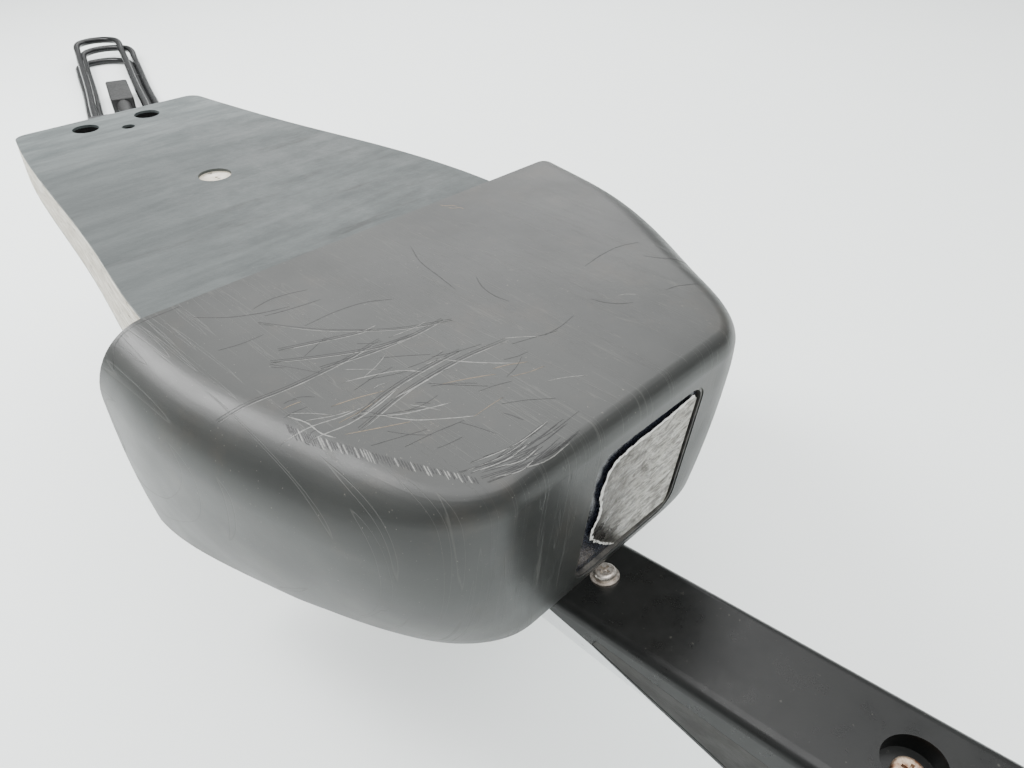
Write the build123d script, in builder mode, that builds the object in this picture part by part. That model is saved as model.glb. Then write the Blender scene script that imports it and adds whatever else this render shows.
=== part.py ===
"""Deck-mount electric trolling motor: mounting board, folding head, arm, steering tube, motor pod.

Frame: +X runs from the board to the pod, +Z is up, Y is across.  The origin is midway between the
two deck bolt holes, level with the flat underside of the board.  The parts are drawn from a datum a
little nearer the head than that, and are moved to the origin when they are exported.
"""
import math
import os

from build123d import *

os.makedirs("parts", exist_ok=True)

# ---------------------------------------------------------------- driving dimensions (mm)
BOLT_SPACING = 38.0
BOLT_X = -8.0                # the deck bolts' place from the datum
BOLT_HOLE_R = 7.5
BOARD_TIP = -24.0            # far edge of the board
BOARD_END = 222.5            # edge of the board at the head
UNDER_SKIN = 1.0
CORE = 16.5
TOP_SKIN = 1.5
FLAT_Z = 21.5                # flat top of the head
HEAD_X = 223.5               # back wall of the head
HEAD_FRONT = 391.0           # widest front of the head
HEAD_WALL = 3.0
SIDE_ROUND = 24.0            # how far the side rounds in at the flat
SIDE_ROUND_DEPTH = 26.0
FRONT_ROUND = 6.0
FRONT_ROUND_DEPTH = 9.0
FRONT_LEAN = 6.5             # degrees the front face leans in
RIM_BACK_Z = -74.5           # lower rim of the head, at its back wall
RIM_FRONT_Z = -66.5          # lower rim of the head, at its front
FLOOR_Z = -134.5             # what the motor lies on
AXIS_Z = -94.5               # steering tube centre line
TUBE_R = 12.5
TUBE_BORE_R = 10.5
PIVOT_X = 206.0
PIVOT_Z = -38.5
PIN_R = 5.0
RUN_GAP = 0.05               # radial clearance of a running fit
ARM_X = 345.0                # where the black arm cover starts
ARM_END = 620.0
ARM_HALF = 22.5
ARM_TOP_Z = -73.4            # top of the arm cover at the root screw
ARM_RISE = 7.2               # degrees the arm cover's top climbs
ROOT_SCREW_X = 383.4
TIP_SCREW_X = 505.6
END_SCREW_X = 592.0
POD_X = 960.0
POD_R = 40.0
POD_HALF = 92.0              # half length of the pod's tube
PROP_R = 112.0
GEAR_MODULE = 2.0
GEAR_TEETH = 30
PINION_TEETH = 14
GEAR_X = 285.0
CORD_D = 8.5
CORD_Z = FLOOR_Z + CORD_D / 2

GEAR_CENTRES = GEAR_MODULE * (GEAR_TEETH + PINION_TEETH) / 2
PINION_Z = AXIS_Z + GEAR_CENTRES
RISE = math.tan(math.radians(ARM_RISE))
LEAN = math.tan(math.radians(FRONT_LEAN))

tube_plane = Plane(origin=(0, 0, AXIS_Z), x_dir=(0, 1, 0), z_dir=(1, 0, 0))
pinion_plane = Plane(origin=(0, 0, PINION_Z), x_dir=(0, 1, 0), z_dir=(1, 0, 0))
pivot_plane = Plane(origin=(PIVOT_X, 0, PIVOT_Z), x_dir=(1, 0, 0), z_dir=(0, -1, 0))
pod_plane = Plane(origin=(POD_X, 0, AXIS_Z), x_dir=(1, 0, 0), z_dir=(0, 1, 0))
rim_slope = math.degrees(math.atan((RIM_FRONT_Z - RIM_BACK_Z) / (HEAD_FRONT - HEAD_X)))
rim_plane = Plane(origin=(HEAD_X, 0, RIM_BACK_Z), x_dir=(0, 1, 0),
                  z_dir=(-math.sin(math.radians(rim_slope)), 0, math.cos(math.radians(rim_slope))))


def arm_top(x):
    return ARM_TOP_Z + RISE * (x - ROOT_SCREW_X)


# ---------------------------------------------------------------- mounting board
SKIN_HOLE_X = 110.0
SKIN_HOLE_R = 8.5
SMALL_HOLE_X = 6.0
BOARD_LEFT = [(BOARD_TIP, -54), (41, -66), (87, -72), (157, -82), (191, -88), (BOARD_END, -92)]
BOARD_RIGHT = [(BOARD_TIP, 59), (32, 67), (67, 73), (150, 90), (190, 95), (BOARD_END, 96)]
FLARE = 4.5                  # how much wider the underside is on each side, at the head


def board_outline(flare):
    """The board's outline, spread towards the head by up to the flare."""
    def spread(points):
        moved = []
        for x, y in points:
            moved.append((x, y + math.copysign(flare * (x - BOARD_TIP) / (BOARD_END - BOARD_TIP), y)))
        return moved

    with BuildSketch() as outline:
        with BuildLine():
            left = Spline(*spread(BOARD_LEFT))
            right = Spline(*spread(BOARD_RIGHT))
            Line(left @ 0, right @ 0)
            Line(left @ 1, right @ 1)
        make_face()
        fillet(vertices().group_by(Axis.X)[0], 8)
    return outline.sketch


with BuildSketch() as board_holes:
    with Locations((BOLT_X, -BOLT_SPACING / 2), (BOLT_X, BOLT_SPACING / 2)):
        Circle(BOLT_HOLE_R)
    with Locations((SMALL_HOLE_X, 0.8)):
        Circle(3.75)

with BuildPart() as board_core:
    with BuildSketch(Plane.XY.offset(UNDER_SKIN)):
        add(board_outline(FLARE))
    with BuildSketch(Plane.XY.offset(UNDER_SKIN + CORE)):
        add(board_outline(0))
    loft(ruled=True)
    with BuildSketch(Plane.XY.offset(UNDER_SKIN)):
        add(board_holes.sketch)
    extrude(amount=CORE, mode=Mode.SUBTRACT)
    with BuildSketch(Plane.XY.offset(UNDER_SKIN + CORE)):
        with Locations((SKIN_HOLE_X, 0)):
            Circle(SKIN_HOLE_R)
    extrude(amount=-0.6, mode=Mode.SUBTRACT)
    with BuildSketch(Plane.XY.offset(UNDER_SKIN + CORE)):
        with Locations((SKIN_HOLE_X - 1, 1)):
            Circle(0.8)
    extrude(amount=-8, mode=Mode.SUBTRACT)

with BuildPart() as board_top_skin:
    with BuildSketch(Plane.XY.offset(UNDER_SKIN + CORE)):
        add(board_outline(0))
        add(board_holes.sketch, mode=Mode.SUBTRACT)
        with Locations((SKIN_HOLE_X, 0)):
            Circle(SKIN_HOLE_R, mode=Mode.SUBTRACT)
    extrude(amount=TOP_SKIN)

with BuildPart() as board_under_skin:
    with BuildSketch():
        add(board_outline(FLARE))
        add(board_holes.sketch, mode=Mode.SUBTRACT)
    extrude(amount=UNDER_SKIN)

# ---------------------------------------------------------------- hinge bracket, pin and knob
EAR_Y = 35.0
EAR_T = 6.0
EAR_R = 11.0
PLATE_T = 5.0
BRACKET_BOLTS = [(142, -24), (142, 24), (188, -24), (188, 24)]

with BuildPart() as hinge_bracket:
    with BuildSketch():
        with Locations((173, 0)):
            RectangleRounded(90, 2 * EAR_Y + 2 * EAR_T, 6)
        with Locations(*BRACKET_BOLTS):
            Circle(3.3, mode=Mode.SUBTRACT)
    extrude(amount=-PLATE_T)
    with BuildSketch(*[pivot_plane.offset(side) for side in (EAR_Y, -EAR_Y - EAR_T)]):
        Circle(EAR_R)
        with BuildLine():
            Polyline((-EAR_R, 0), (-40, -PIVOT_Z - PLATE_T), (11, -PIVOT_Z - PLATE_T), (EAR_R, 0), close=True)
        make_face()
        Circle(PIN_R, mode=Mode.SUBTRACT)
    extrude(amount=EAR_T)

with BuildPart() as bracket_bolts:
    with BuildSketch(Plane.XY.offset(-PLATE_T)):
        with Locations(*BRACKET_BOLTS):
            RegularPolygon(5.7, 6)
    extrude(amount=-4)
    with BuildSketch(Plane.XY.offset(-PLATE_T - 4)):
        with Locations(*BRACKET_BOLTS):
            Circle(3)
    extrude(amount=PLATE_T + 4)
    chamfer(faces().filter_by(Axis.Z).group_by(Axis.Z)[0].edges(), 0.6)

PIN_HEAD_Y = -EAR_Y - EAR_T
KNOB_Y = EAR_Y + EAR_T + 0.4

with BuildPart() as hinge_pin:
    with BuildSketch(pivot_plane.offset(-KNOB_Y - 14)):
        Circle(PIN_R)
    extrude(amount=KNOB_Y + 14 - PIN_HEAD_Y)
    with BuildSketch(pivot_plane.offset(-PIN_HEAD_Y)):
        Circle(8.5)
    extrude(amount=4)
    chamfer(edges().group_by(Axis.Y)[0], 0.8)
    chamfer(edges().group_by(Axis.Y)[-1], 0.8)

with BuildPart() as tilt_knob:
    with BuildSketch(pivot_plane.offset(-KNOB_Y - 18)):
        Circle(12)
        with PolarLocations(12, 6):
            Circle(3)
    extrude(amount=16)
    fillet(edges().filter_by(GeomType.LINE, reverse=True).group_by(Axis.Y)[-1], 1.0)
    with BuildSketch(pivot_plane.offset(-KNOB_Y - 2)):
        Circle(8)
    extrude(amount=2)
    with BuildSketch(pivot_plane.offset(-KNOB_Y - 14.4)):
        Circle(PIN_R + RUN_GAP)
    extrude(amount=14.4, mode=Mode.SUBTRACT)

# ---------------------------------------------------------------- cable box under the board
BOX_X = 55.0
BOX_LENGTH = 50.0
BOX_HALF = 30.0
BOX_DEPTH = 30.0
BOX_WALL = 2.5
GLAND_Z = -15.0
GLAND_END = 16.0
ROCKER_X = 82.0
ROCKER_Z = -15.0

with BuildPart() as cable_box:
    with BuildSketch():
        with Locations((BOX_X + BOX_LENGTH / 2, 0)):
            RectangleRounded(BOX_LENGTH, 2 * BOX_HALF, 5)
    extrude(amount=-BOX_DEPTH)
    with BuildSketch(Plane.XY.offset(-BOX_WALL)):
        with Locations((BOX_X + BOX_LENGTH / 2, 0)):
            RectangleRounded(BOX_LENGTH - 2 * BOX_WALL, 2 * BOX_HALF - 2 * BOX_WALL, 3)
    extrude(amount=-BOX_DEPTH, mode=Mode.SUBTRACT)
    with BuildSketch(Plane.XY.offset(-BOX_WALL)):
        with Locations((BOX_X + BOX_LENGTH / 2, 0)):
            with GridLocations(BOX_LENGTH - 10, 2 * BOX_HALF - 10, 2, 2):
                Circle(3.6)
    extrude(amount=-BOX_DEPTH + BOX_WALL)
    with BuildSketch(Plane.XZ.offset(-BOX_HALF - 2)):
        with Locations((ROCKER_X, ROCKER_Z)):
            RectangleRounded(27, 21.6, 2.5)
    extrude(amount=2.5)
    with BuildSketch(Plane.XZ.offset(-BOX_HALF - 2)):
        with Locations((ROCKER_X, ROCKER_Z)):
            Rectangle(20.6, 15.6)
    extrude(amount=8, mode=Mode.SUBTRACT)
    with BuildSketch(Plane.YZ.offset(BOX_X)):
        with Locations((0, GLAND_Z)):
            Circle(7)
    extrude(amount=BOX_WALL, mode=Mode.SUBTRACT)
    with BuildSketch(Plane.XY.offset(-BOX_DEPTH)):
        with Locations((BOX_X + BOX_LENGTH / 2, 0)):
            with GridLocations(BOX_LENGTH - 10, 2 * BOX_HALF - 10, 2, 2):
                Circle(1.5)
    extrude(amount=12, mode=Mode.SUBTRACT)

with BuildPart() as cable_box_lid:
    with BuildSketch(Plane.XY.offset(-BOX_DEPTH)):
        with Locations((BOX_X + BOX_LENGTH / 2, 0)):
            RectangleRounded(BOX_LENGTH, 2 * BOX_HALF, 5)
            with GridLocations(BOX_LENGTH - 10, 2 * BOX_HALF - 10, 2, 2):
                Circle(1.7, mode=Mode.SUBTRACT)
    extrude(amount=-BOX_WALL)
    fillet(faces().sort_by(Axis.Z)[0].outer_wire().edges(), 1.2)

with BuildPart() as cable_box_screws:
    with BuildSketch(Plane.XY.offset(-BOX_DEPTH - BOX_WALL)):
        with Locations((BOX_X + BOX_LENGTH / 2, 0)):
            with GridLocations(BOX_LENGTH - 10, 2 * BOX_HALF - 10, 2, 2):
                Circle(3)
    extrude(amount=-2)
    fillet(edges().group_by(Axis.Z)[0], 0.8)
    with BuildSketch(Plane.XY.offset(-BOX_DEPTH - BOX_WALL)):
        with Locations((BOX_X + BOX_LENGTH / 2, 0)):
            with GridLocations(BOX_LENGTH - 10, 2 * BOX_HALF - 10, 2, 2):
                Circle(1.5)
    extrude(amount=BOX_WALL + 9)

with BuildPart() as power_rocker:
    with BuildSketch(Plane.YZ.offset(ROCKER_X - 10)):
        with BuildLine():
            Polyline((BOX_HALF - 4, ROCKER_Z - 4), (BOX_HALF + 1.6, ROCKER_Z - 6),
                     (BOX_HALF + 2.6, ROCKER_Z), (BOX_HALF + 4.4, ROCKER_Z + 6),
                     (BOX_HALF - 4, ROCKER_Z + 4), close=True)
        make_face()
        with Locations((BOX_HALF - 2, ROCKER_Z)):
            Circle(5)
    extrude(amount=20)

with BuildPart() as cable_gland:
    with BuildSketch(Plane.YZ.offset(BOX_X)):
        with Locations((0, GLAND_Z)):
            Circle(7)
    extrude(amount=BOX_WALL + 4)
    with BuildSketch(Plane.YZ.offset(BOX_X)):
        with Locations((0, GLAND_Z)):
            RegularPolygon(11, 6)
    extrude(amount=-9)
    with BuildSketch(Plane.YZ.offset(BOX_X - 9)):
        with Locations((0, GLAND_Z)):
            Circle(8)
    with BuildSketch(Plane.YZ.offset(GLAND_END)):
        with Locations((0, GLAND_Z)):
            Circle(5.6)
    loft()

with BuildPart() as fuse_block:
    with BuildSketch(Plane.XY.offset(-BOX_WALL)):
        with Locations((88, 2)):
            RectangleRounded(18, 30, 2)
    extrude(amount=-13)
    with BuildSketch(Plane.XY.offset(-BOX_WALL - 13)):
        with Locations((88, -6), (88, 2), (88, 10)):
            Circle(2.6)
    extrude(amount=-3)

# ---------------------------------------------------------------- head covers
# each point: x, y, which way the wall faces there, and how far it is tucked in at the rim
LEFT_WALL = [(HEAD_X, -116, 0, -1, 4), (275, -116, 0, -1, 12), (329, -105, 0.15, -1, 18),
             (361, -95, 0.4, -0.9, 21), (382, -81, 0.75, -0.55, 19)]
RIGHT_WALL = [(HEAD_X, 151, 0, 1, 5), (269, 142, 0.2, 0.95, 10), (314, 124, 0.4, 0.9, 12),
              (354, 99, 0.6, 0.75, 14), (383, 75, 0.75, 0.55, 6)]
FRONT_SHARE = [0, 0, 0, 0.2, 0.6]         # how much each point follows the front's rounding
CORNER_LEFT_Y = -56.0
CORNER_RIGHT_Y = 52.0
CORNER_TUCK = 16.0
TUCK_DEPTH = 92.0
TUCK_POWER = 2.2
ROUND_STEPS = 5
round_turns = [math.pi / 2 * i / (ROUND_STEPS - 1) for i in range(ROUND_STEPS)]
round_depths = [SIDE_ROUND_DEPTH * (1 - math.cos(turn)) for turn in round_turns]
wall_depths = [SIDE_ROUND_DEPTH, 44.0, 60.0, 74.0, 88.0, 104.0]


def side_inset(depth):
    if depth < SIDE_ROUND_DEPTH:
        return SIDE_ROUND * (1 - math.sqrt(1 - (1 - depth / SIDE_ROUND_DEPTH) ** 2))
    return 0.0


def front_inset(depth):
    if depth < FRONT_ROUND_DEPTH:
        return FRONT_ROUND * (1 - math.sqrt(1 - (1 - depth / FRONT_ROUND_DEPTH) ** 2))
    return LEAN * (depth - FRONT_ROUND_DEPTH)


def head_section(depth, wall=0.0, back=0.0):
    """Closed outline of the head at that depth below its flat, drawn in by the wall thickness."""
    side = side_inset(depth) + wall
    front = front_inset(depth) + wall
    tuck = (max(depth - SIDE_ROUND_DEPTH, 0) / (TUCK_DEPTH - SIDE_ROUND_DEPTH)) ** TUCK_POWER

    def inset(points):
        moved = []
        for (x, y, nx, ny, rim), share in zip(points, FRONT_SHARE):
            amount = side * (1 - share) + front * share + tuck * rim
            moved.append((x - nx * amount, y - ny * amount))
        moved[0] = (HEAD_X + back, moved[0][1])
        return moved

    front_x = HEAD_FRONT - front
    left = inset(LEFT_WALL) + [(front_x, CORNER_LEFT_Y + CORNER_TUCK * tuck)]
    right = inset(RIGHT_WALL) + [(front_x, CORNER_RIGHT_Y - CORNER_TUCK * tuck)]
    with BuildSketch() as section:
        with BuildLine():
            Line(left[0], right[0])
            Spline(*right, tangents=[(1, -0.2), (0, -1)])
            Line(right[-1], left[-1])
            Spline(*left, tangents=[(1, -0.03), (0, 1)])
        make_face()
    return section.sketch


with BuildPart() as head_cavity:
    for depths in (round_depths, wall_depths):
        for depth in depths:
            with BuildSketch(Plane.XY.offset(FLAT_Z - HEAD_WALL - depth)):
                add(head_section(depth, HEAD_WALL, HEAD_WALL))
        loft()

WINDOW_Y = 11.5
WINDOW_Z = -27.5
WINDOW_W = 63.0
WINDOW_H = 70.0
WINDOW_R = 9.0
window_x = HEAD_FRONT - LEAN * (FLAT_Z - FRONT_ROUND_DEPTH - WINDOW_Z)
window_plane = Plane(origin=(window_x, WINDOW_Y, WINDOW_Z), x_dir=(0, 1, 0),
                     z_dir=(math.cos(math.radians(FRONT_LEAN)), 0, -math.sin(math.radians(FRONT_LEAN))))
LUG_Y = 22.0
LUG_T = 11.0
COWL_BOSSES = [(250, -88), (250, 112), (338, -70), (330, 78)]

with BuildPart() as top_cowl:
    for depths in (round_depths, wall_depths):
        for depth in depths:
            with BuildSketch(Plane.XY.offset(FLAT_Z - depth)):
                add(head_section(depth))
        loft()
    add(head_cavity.part, mode=Mode.SUBTRACT)
    with BuildSketch(Plane.XY.offset(FLAT_Z - HEAD_WALL / 2)):
        with Locations(*COWL_BOSSES):
            Circle(5)
    extrude(amount=-98)
    split(bisect_by=rim_plane, keep=Keep.TOP)
    with BuildSketch(window_plane.offset(5)):
        RectangleRounded(WINDOW_W, WINDOW_H, WINDOW_R)
    extrude(amount=-14, mode=Mode.SUBTRACT)
    with BuildSketch(Plane.YZ.offset(HEAD_X - 1)):
        with Locations((-LUG_Y - LUG_T / 2, PIVOT_Z), (LUG_Y + LUG_T / 2, PIVOT_Z)):
            Rectangle(LUG_T + 1.6, 2 * EAR_R + 2)
    extrude(amount=6, mode=Mode.SUBTRACT)
    with BuildSketch(Plane.XY.offset(-90)):
        with Locations(*COWL_BOSSES):
            Circle(1.6)
    extrude(amount=40, mode=Mode.SUBTRACT)

BELLY = (238.0, 318.0, -50.0, 72.0)       # low x, high x, low y, high y
BELLY_X = (BELLY[0] + BELLY[1]) / 2
BELLY_Y = (BELLY[2] + BELLY[3]) / 2
BELLY_LENGTH = BELLY[1] - BELLY[0]
BELLY_WIDTH = BELLY[3] - BELLY[2]
SHELL_R = 18.2               # outside of the arm's lower shell
SHELL_Z = -93.0
TUBE_HOLE_R = SHELL_R + 0.2

with BuildPart() as rim_outline:
    with BuildSketch(Plane.XY.offset(-100)):
        add(head_section(FLAT_Z - RIM_BACK_Z, 2.5, 1.5))
    extrude(amount=60)

with BuildPart() as lower_cowl:
    with BuildSketch(rim_plane.offset(-HEAD_WALL)):
        with Locations((0, -80)):
            Rectangle(400, 400)
    extrude(amount=HEAD_WALL)
    add(rim_outline.part, mode=Mode.INTERSECT)
    with BuildSketch(Plane.XY.offset(FLOOR_Z)):
        with Locations((BELLY_X, BELLY_Y)):
            RectangleRounded(BELLY_LENGTH, BELLY_WIDTH, 14)
    extrude(amount=64)
    fillet(edges().group_by(Axis.Z)[0], 6)
    with BuildSketch(Plane.XY.offset(FLOOR_Z + HEAD_WALL)):
        with Locations((BELLY_X, BELLY_Y)):
            RectangleRounded(BELLY_LENGTH - 2 * HEAD_WALL, BELLY_WIDTH - 2 * HEAD_WALL, 11)
    extrude(amount=80, mode=Mode.SUBTRACT)
    split(bisect_by=rim_plane, keep=Keep.BOTTOM)
    with BuildSketch(tube_plane.offset(BELLY[1] - 8)):
        with Locations((0, SHELL_Z - AXIS_Z)):
            Circle(TUBE_HOLE_R)
        with Locations((0, SHELL_Z - AXIS_Z + 8)):
            Rectangle(2 * TUBE_HOLE_R, 12)
    extrude(amount=12, mode=Mode.SUBTRACT)
    with BuildSketch(Plane.XY.offset(-90)):
        with Locations(*COWL_BOSSES):
            Circle(2.1)
        with Locations((ROOT_SCREW_X, 0)):
            Circle(9)
    extrude(amount=40, mode=Mode.SUBTRACT)

with BuildPart() as cowl_screws:
    for x, y in COWL_BOSSES:
        seat = RIM_BACK_Z + (x - HEAD_X) * math.tan(math.radians(rim_slope)) - HEAD_WALL
        with BuildSketch(Plane.XY.offset(seat - 0.35)):
            with Locations((x, y)):
                Circle(3.6)
        extrude(amount=-2.4)
        with BuildSketch(Plane.XY.offset(seat - 0.35)):
            with Locations((x, y)):
                Circle(1.6)
        extrude(amount=16)

# ---------------------------------------------------------------- label on the front
with BuildPart() as label_bezel:
    with BuildSketch(window_plane.offset(-3)):
        RectangleRounded(WINDOW_W - 0.2, WINDOW_H - 0.2, WINDOW_R - 0.1)
        RectangleRounded(WINDOW_W - 2.4, WINDOW_H - 2.4, WINDOW_R - 1.2, mode=Mode.SUBTRACT)
    extrude(amount=2.6)

with BuildPart() as label_backing:
    with BuildSketch(window_plane.offset(-5.4)):
        RectangleRounded(WINDOW_W + 5, WINDOW_H + 1, WINDOW_R)
    extrude(amount=1.6)
    with BuildSketch(window_plane.offset(-3.8)):
        RectangleRounded(WINDOW_W - 3, WINDOW_H - 3, WINDOW_R - 1.5)
    extrude(amount=1.6)

with BuildPart() as label_foil:
    with BuildSketch(window_plane.offset(-2.2)):
        RectangleRounded(WINDOW_W - 5, WINDOW_H - 6, WINDOW_R - 3)
    extrude(amount=0.4)

# ---------------------------------------------------------------- head chassis and steering drive
BUSH_X = 243.0
BUSH_T = 8.0
FRONT_WALL_X = 304.0
SHELF_Z = -66.0
MOTOR_X = 236.0
MOTOR_LENGTH = 44.0

with BuildPart() as head_chassis:
    with BuildSketch(Plane.YZ.offset(228)):
        with BuildLine():
            Polyline((-46, SHELF_Z), (-46, -24), (46, -24), (46, SHELF_Z), close=True)
        make_face()
    extrude(amount=8)
    with BuildSketch(Plane.XY.offset(SHELF_Z)):
        with Locations((270, 0)):
            Rectangle(84, 92)
        with Locations((269, 0)):
            Rectangle(66, 44, mode=Mode.SUBTRACT)
    extrude(amount=6)
    with BuildSketch(Plane.YZ.offset(BUSH_X), Plane.YZ.offset(FRONT_WALL_X)):
        with BuildLine():
            Polyline((-34, -60), (-34, -104), (-20, -116), (20, -116), (34, -104), (34, -60), close=True)
        make_face()
    extrude(amount=BUSH_T)
    with BuildSketch(tube_plane.offset(228)):
        Circle(15.5)
    extrude(amount=100, mode=Mode.SUBTRACT)
    with BuildSketch(pinion_plane.offset(BUSH_X - 1)):
        Circle(19)
    extrude(amount=12, mode=Mode.SUBTRACT)
    with BuildSketch(*[pivot_plane.offset(y) for y in (LUG_Y, -LUG_Y - LUG_T)]):
        Circle(EAR_R)
        with Locations((14, 0)):
            Rectangle(28, 2 * EAR_R)
        Circle(PIN_R + 1.5, mode=Mode.SUBTRACT)
    extrude(amount=LUG_T)

with BuildPart() as hinge_bushes:
    with BuildSketch(*[pivot_plane.offset(y) for y in (LUG_Y, -LUG_Y - LUG_T)]):
        Circle(PIN_R + 1.5)
        Circle(PIN_R + RUN_GAP, mode=Mode.SUBTRACT)
    extrude(amount=LUG_T)

with BuildPart() as tube_bushes:
    with BuildSketch(tube_plane.offset(BUSH_X), tube_plane.offset(FRONT_WALL_X)):
        Circle(15.5)
        Circle(TUBE_R + RUN_GAP, mode=Mode.SUBTRACT)
    extrude(amount=BUSH_T)

with BuildPart() as steering_motor:
    with BuildSketch(pinion_plane.offset(MOTOR_X)):
        Circle(18)
    extrude(amount=MOTOR_LENGTH)
    chamfer(edges().group_by(Axis.X)[-1], 1.5)
    with BuildSketch(pinion_plane.offset(MOTOR_X + MOTOR_LENGTH)):
        Circle(2.5)
    extrude(amount=18)


def gear_tooth(teeth, module, slack):
    """One involute tooth pointing along +X, with its root let into the blank."""
    pressure = math.radians(20)
    pitch_r = module * teeth / 2
    base_r = pitch_r * math.cos(pressure)
    tip_r = pitch_r + module
    root_r = pitch_r - 1.25 * module
    half = math.pi / (2 * teeth) + math.tan(pressure) - pressure - slack / pitch_r
    flank = []
    for step in range(6):
        r = max(base_r, root_r) + (tip_r - max(base_r, root_r)) * step / 5
        roll = math.acos(min(1, base_r / r))
        angle = half - (math.tan(roll) - roll)
        flank.append((r * math.cos(angle), r * math.sin(angle)))
    start = (root_r - 0.6) * math.cos(half), (root_r - 0.6) * math.sin(half)
    points = [start] + flank
    with BuildSketch() as tooth:
        with BuildLine():
            Polyline(*points, *[(x, -y) for x, y in reversed(points)], close=True)
        make_face()
    return tooth.sketch


def gear_face(teeth, module, bore_r, phase, slack=0.12):
    tooth = gear_tooth(teeth, module, slack)
    with BuildSketch() as face:
        Circle(module * teeth / 2 - 1.25 * module)
        with PolarLocations(0, teeth, start_angle=phase):
            add(tooth)
        Circle(bore_r, mode=Mode.SUBTRACT)
    return face.sketch


with BuildPart() as steering_pinion:
    with BuildSketch(pinion_plane.offset(GEAR_X - 1)):
        add(gear_face(PINION_TEETH, GEAR_MODULE, 2.5 + RUN_GAP, -90 + 180 / PINION_TEETH))
    extrude(amount=12)

with BuildPart() as steering_gear:
    with BuildSketch(tube_plane.offset(GEAR_X)):
        add(gear_face(GEAR_TEETH, GEAR_MODULE, TUBE_R, 90))
    extrude(amount=10)
    with BuildSketch(tube_plane.offset(GEAR_X - 8)):
        Circle(20)
        Circle(TUBE_R, mode=Mode.SUBTRACT)
    extrude(amount=8)

with BuildPart() as control_board:
    with BuildSketch(Plane.XY.offset(-14)):
        with Locations((306, 24)):
            RectangleRounded(80, 92, 3)
    extrude(amount=1.6)
    with BuildSketch(Plane.XY.offset(-12.4)):
        with Locations((290, 50), (290, 34), (318, 52)):
            Circle(5)
        with Locations((325, 20)):
            Rectangle(14, 14)
    extrude(amount=11)

with BuildPart() as board_posts:
    with BuildSketch(Plane.XY.offset(-12.4)):
        with Locations((306, 24)):
            with GridLocations(70, 82, 2, 2):
                Circle(3)
    extrude(amount=FLAT_Z - HEAD_WALL + 12.4)

with BuildPart() as heat_sink:
    with BuildSketch(Plane.XY.offset(-18)):
        with Locations((306, 24)):
            Rectangle(50, 60)
    extrude(amount=4)
    with BuildSketch(Plane.XY.offset(-18)):
        with Locations((306, 24)):
            with GridLocations(0, 8, 1, 8):
                Rectangle(50, 2.4)
    extrude(amount=-12)

# ---------------------------------------------------------------- arm between head and steering tube
PARTING = [(ARM_X, -80.8), (374, -82), (396, -84), (429, -90), (460, -95), (520, -98.5), (ARM_END, -99)]
ARM_WALL = 2.5
COUNTERBORE_R = 10.0
SCREW_HEAD_R = 4.8
BRIDGE_Z = -81.4

with BuildPart() as arm_profile:
    with BuildSketch(Plane.XZ.offset(-ARM_HALF)):
        with BuildLine():
            Polyline((ARM_X, arm_top(ARM_X)), (ARM_END, arm_top(ARM_END)), *reversed(PARTING), close=True)
        make_face()
    extrude(amount=2 * ARM_HALF)

with BuildPart() as arm_cover:
    add(arm_profile.part)
    top_edges = edges().filter_by(lambda e: e.center().Z > arm_top(e.center().X) - 0.5)
    fillet(top_edges.filter_by(lambda e: e.length > 100), 4.6)
    with BuildSketch(Plane.XZ.offset(-ARM_HALF + ARM_WALL)):
        with BuildLine():
            Polyline((ARM_X - 5, arm_top(ARM_X - 5) - ARM_WALL),
                     (ARM_END - 3, arm_top(ARM_END - 3) - ARM_WALL),
                     (ARM_END - 3, -110), (ARM_X - 5, -110), close=True)
        make_face()
    extrude(amount=2 * (ARM_HALF - ARM_WALL), mode=Mode.SUBTRACT)
    for x in (TIP_SCREW_X, END_SCREW_X):
        with BuildSketch(Plane.XY.offset(-74)):
            with Locations((x, 0)):
                Circle(COUNTERBORE_R + 2)
        extrude(amount=arm_top(x) - 1.5 + 74)
        with BuildSketch(Plane.XY.offset(-66)):
            with Locations((x, 0)):
                Circle(COUNTERBORE_R)
        extrude(amount=60, mode=Mode.SUBTRACT)
    with BuildSketch(Plane.XY.offset(-90)):
        with Locations((ROOT_SCREW_X, 0), (TIP_SCREW_X, 0), (END_SCREW_X, 0)):
            Circle(2.75)
    extrude(amount=80, mode=Mode.SUBTRACT)
    with BuildSketch(tube_plane.offset(ARM_END - 4)):
        Circle(TUBE_R + 1.5)
        with Locations((0, -10)):
            Rectangle(2 * TUBE_R + 3, 20)
    extrude(amount=5, mode=Mode.SUBTRACT)

PANEL_SIDE = [(396, -83.2), (397.5, -79.3), (ARM_END - 8, -67.5), (ARM_END - 8, -97.5),
              (520, -97), (460, -93.5), (429, -88.5)]
PANEL_T = 1.2

for side in (-1, 1):
    with BuildPart() as pocket:
        with BuildSketch(Plane.XZ.offset(-side * (ARM_HALF - PANEL_T))):
            with BuildLine():
                Polyline(*PANEL_SIDE, close=True)
            make_face()
        extrude(amount=-side * 5)
    arm_cover.part = arm_cover.part - pocket.part

with BuildPart() as arm_panel_left:
    with BuildSketch(Plane.XZ.offset(ARM_HALF - PANEL_T)):
        with BuildLine():
            Polyline(*PANEL_SIDE, close=True)
        make_face()
        offset(amount=-0.3, kind=Kind.INTERSECTION, mode=Mode.REPLACE)
    extrude(amount=PANEL_T - 0.1)

with BuildPart() as arm_panel_right:
    add(mirror(arm_panel_left.part, about=Plane.XZ))

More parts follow.
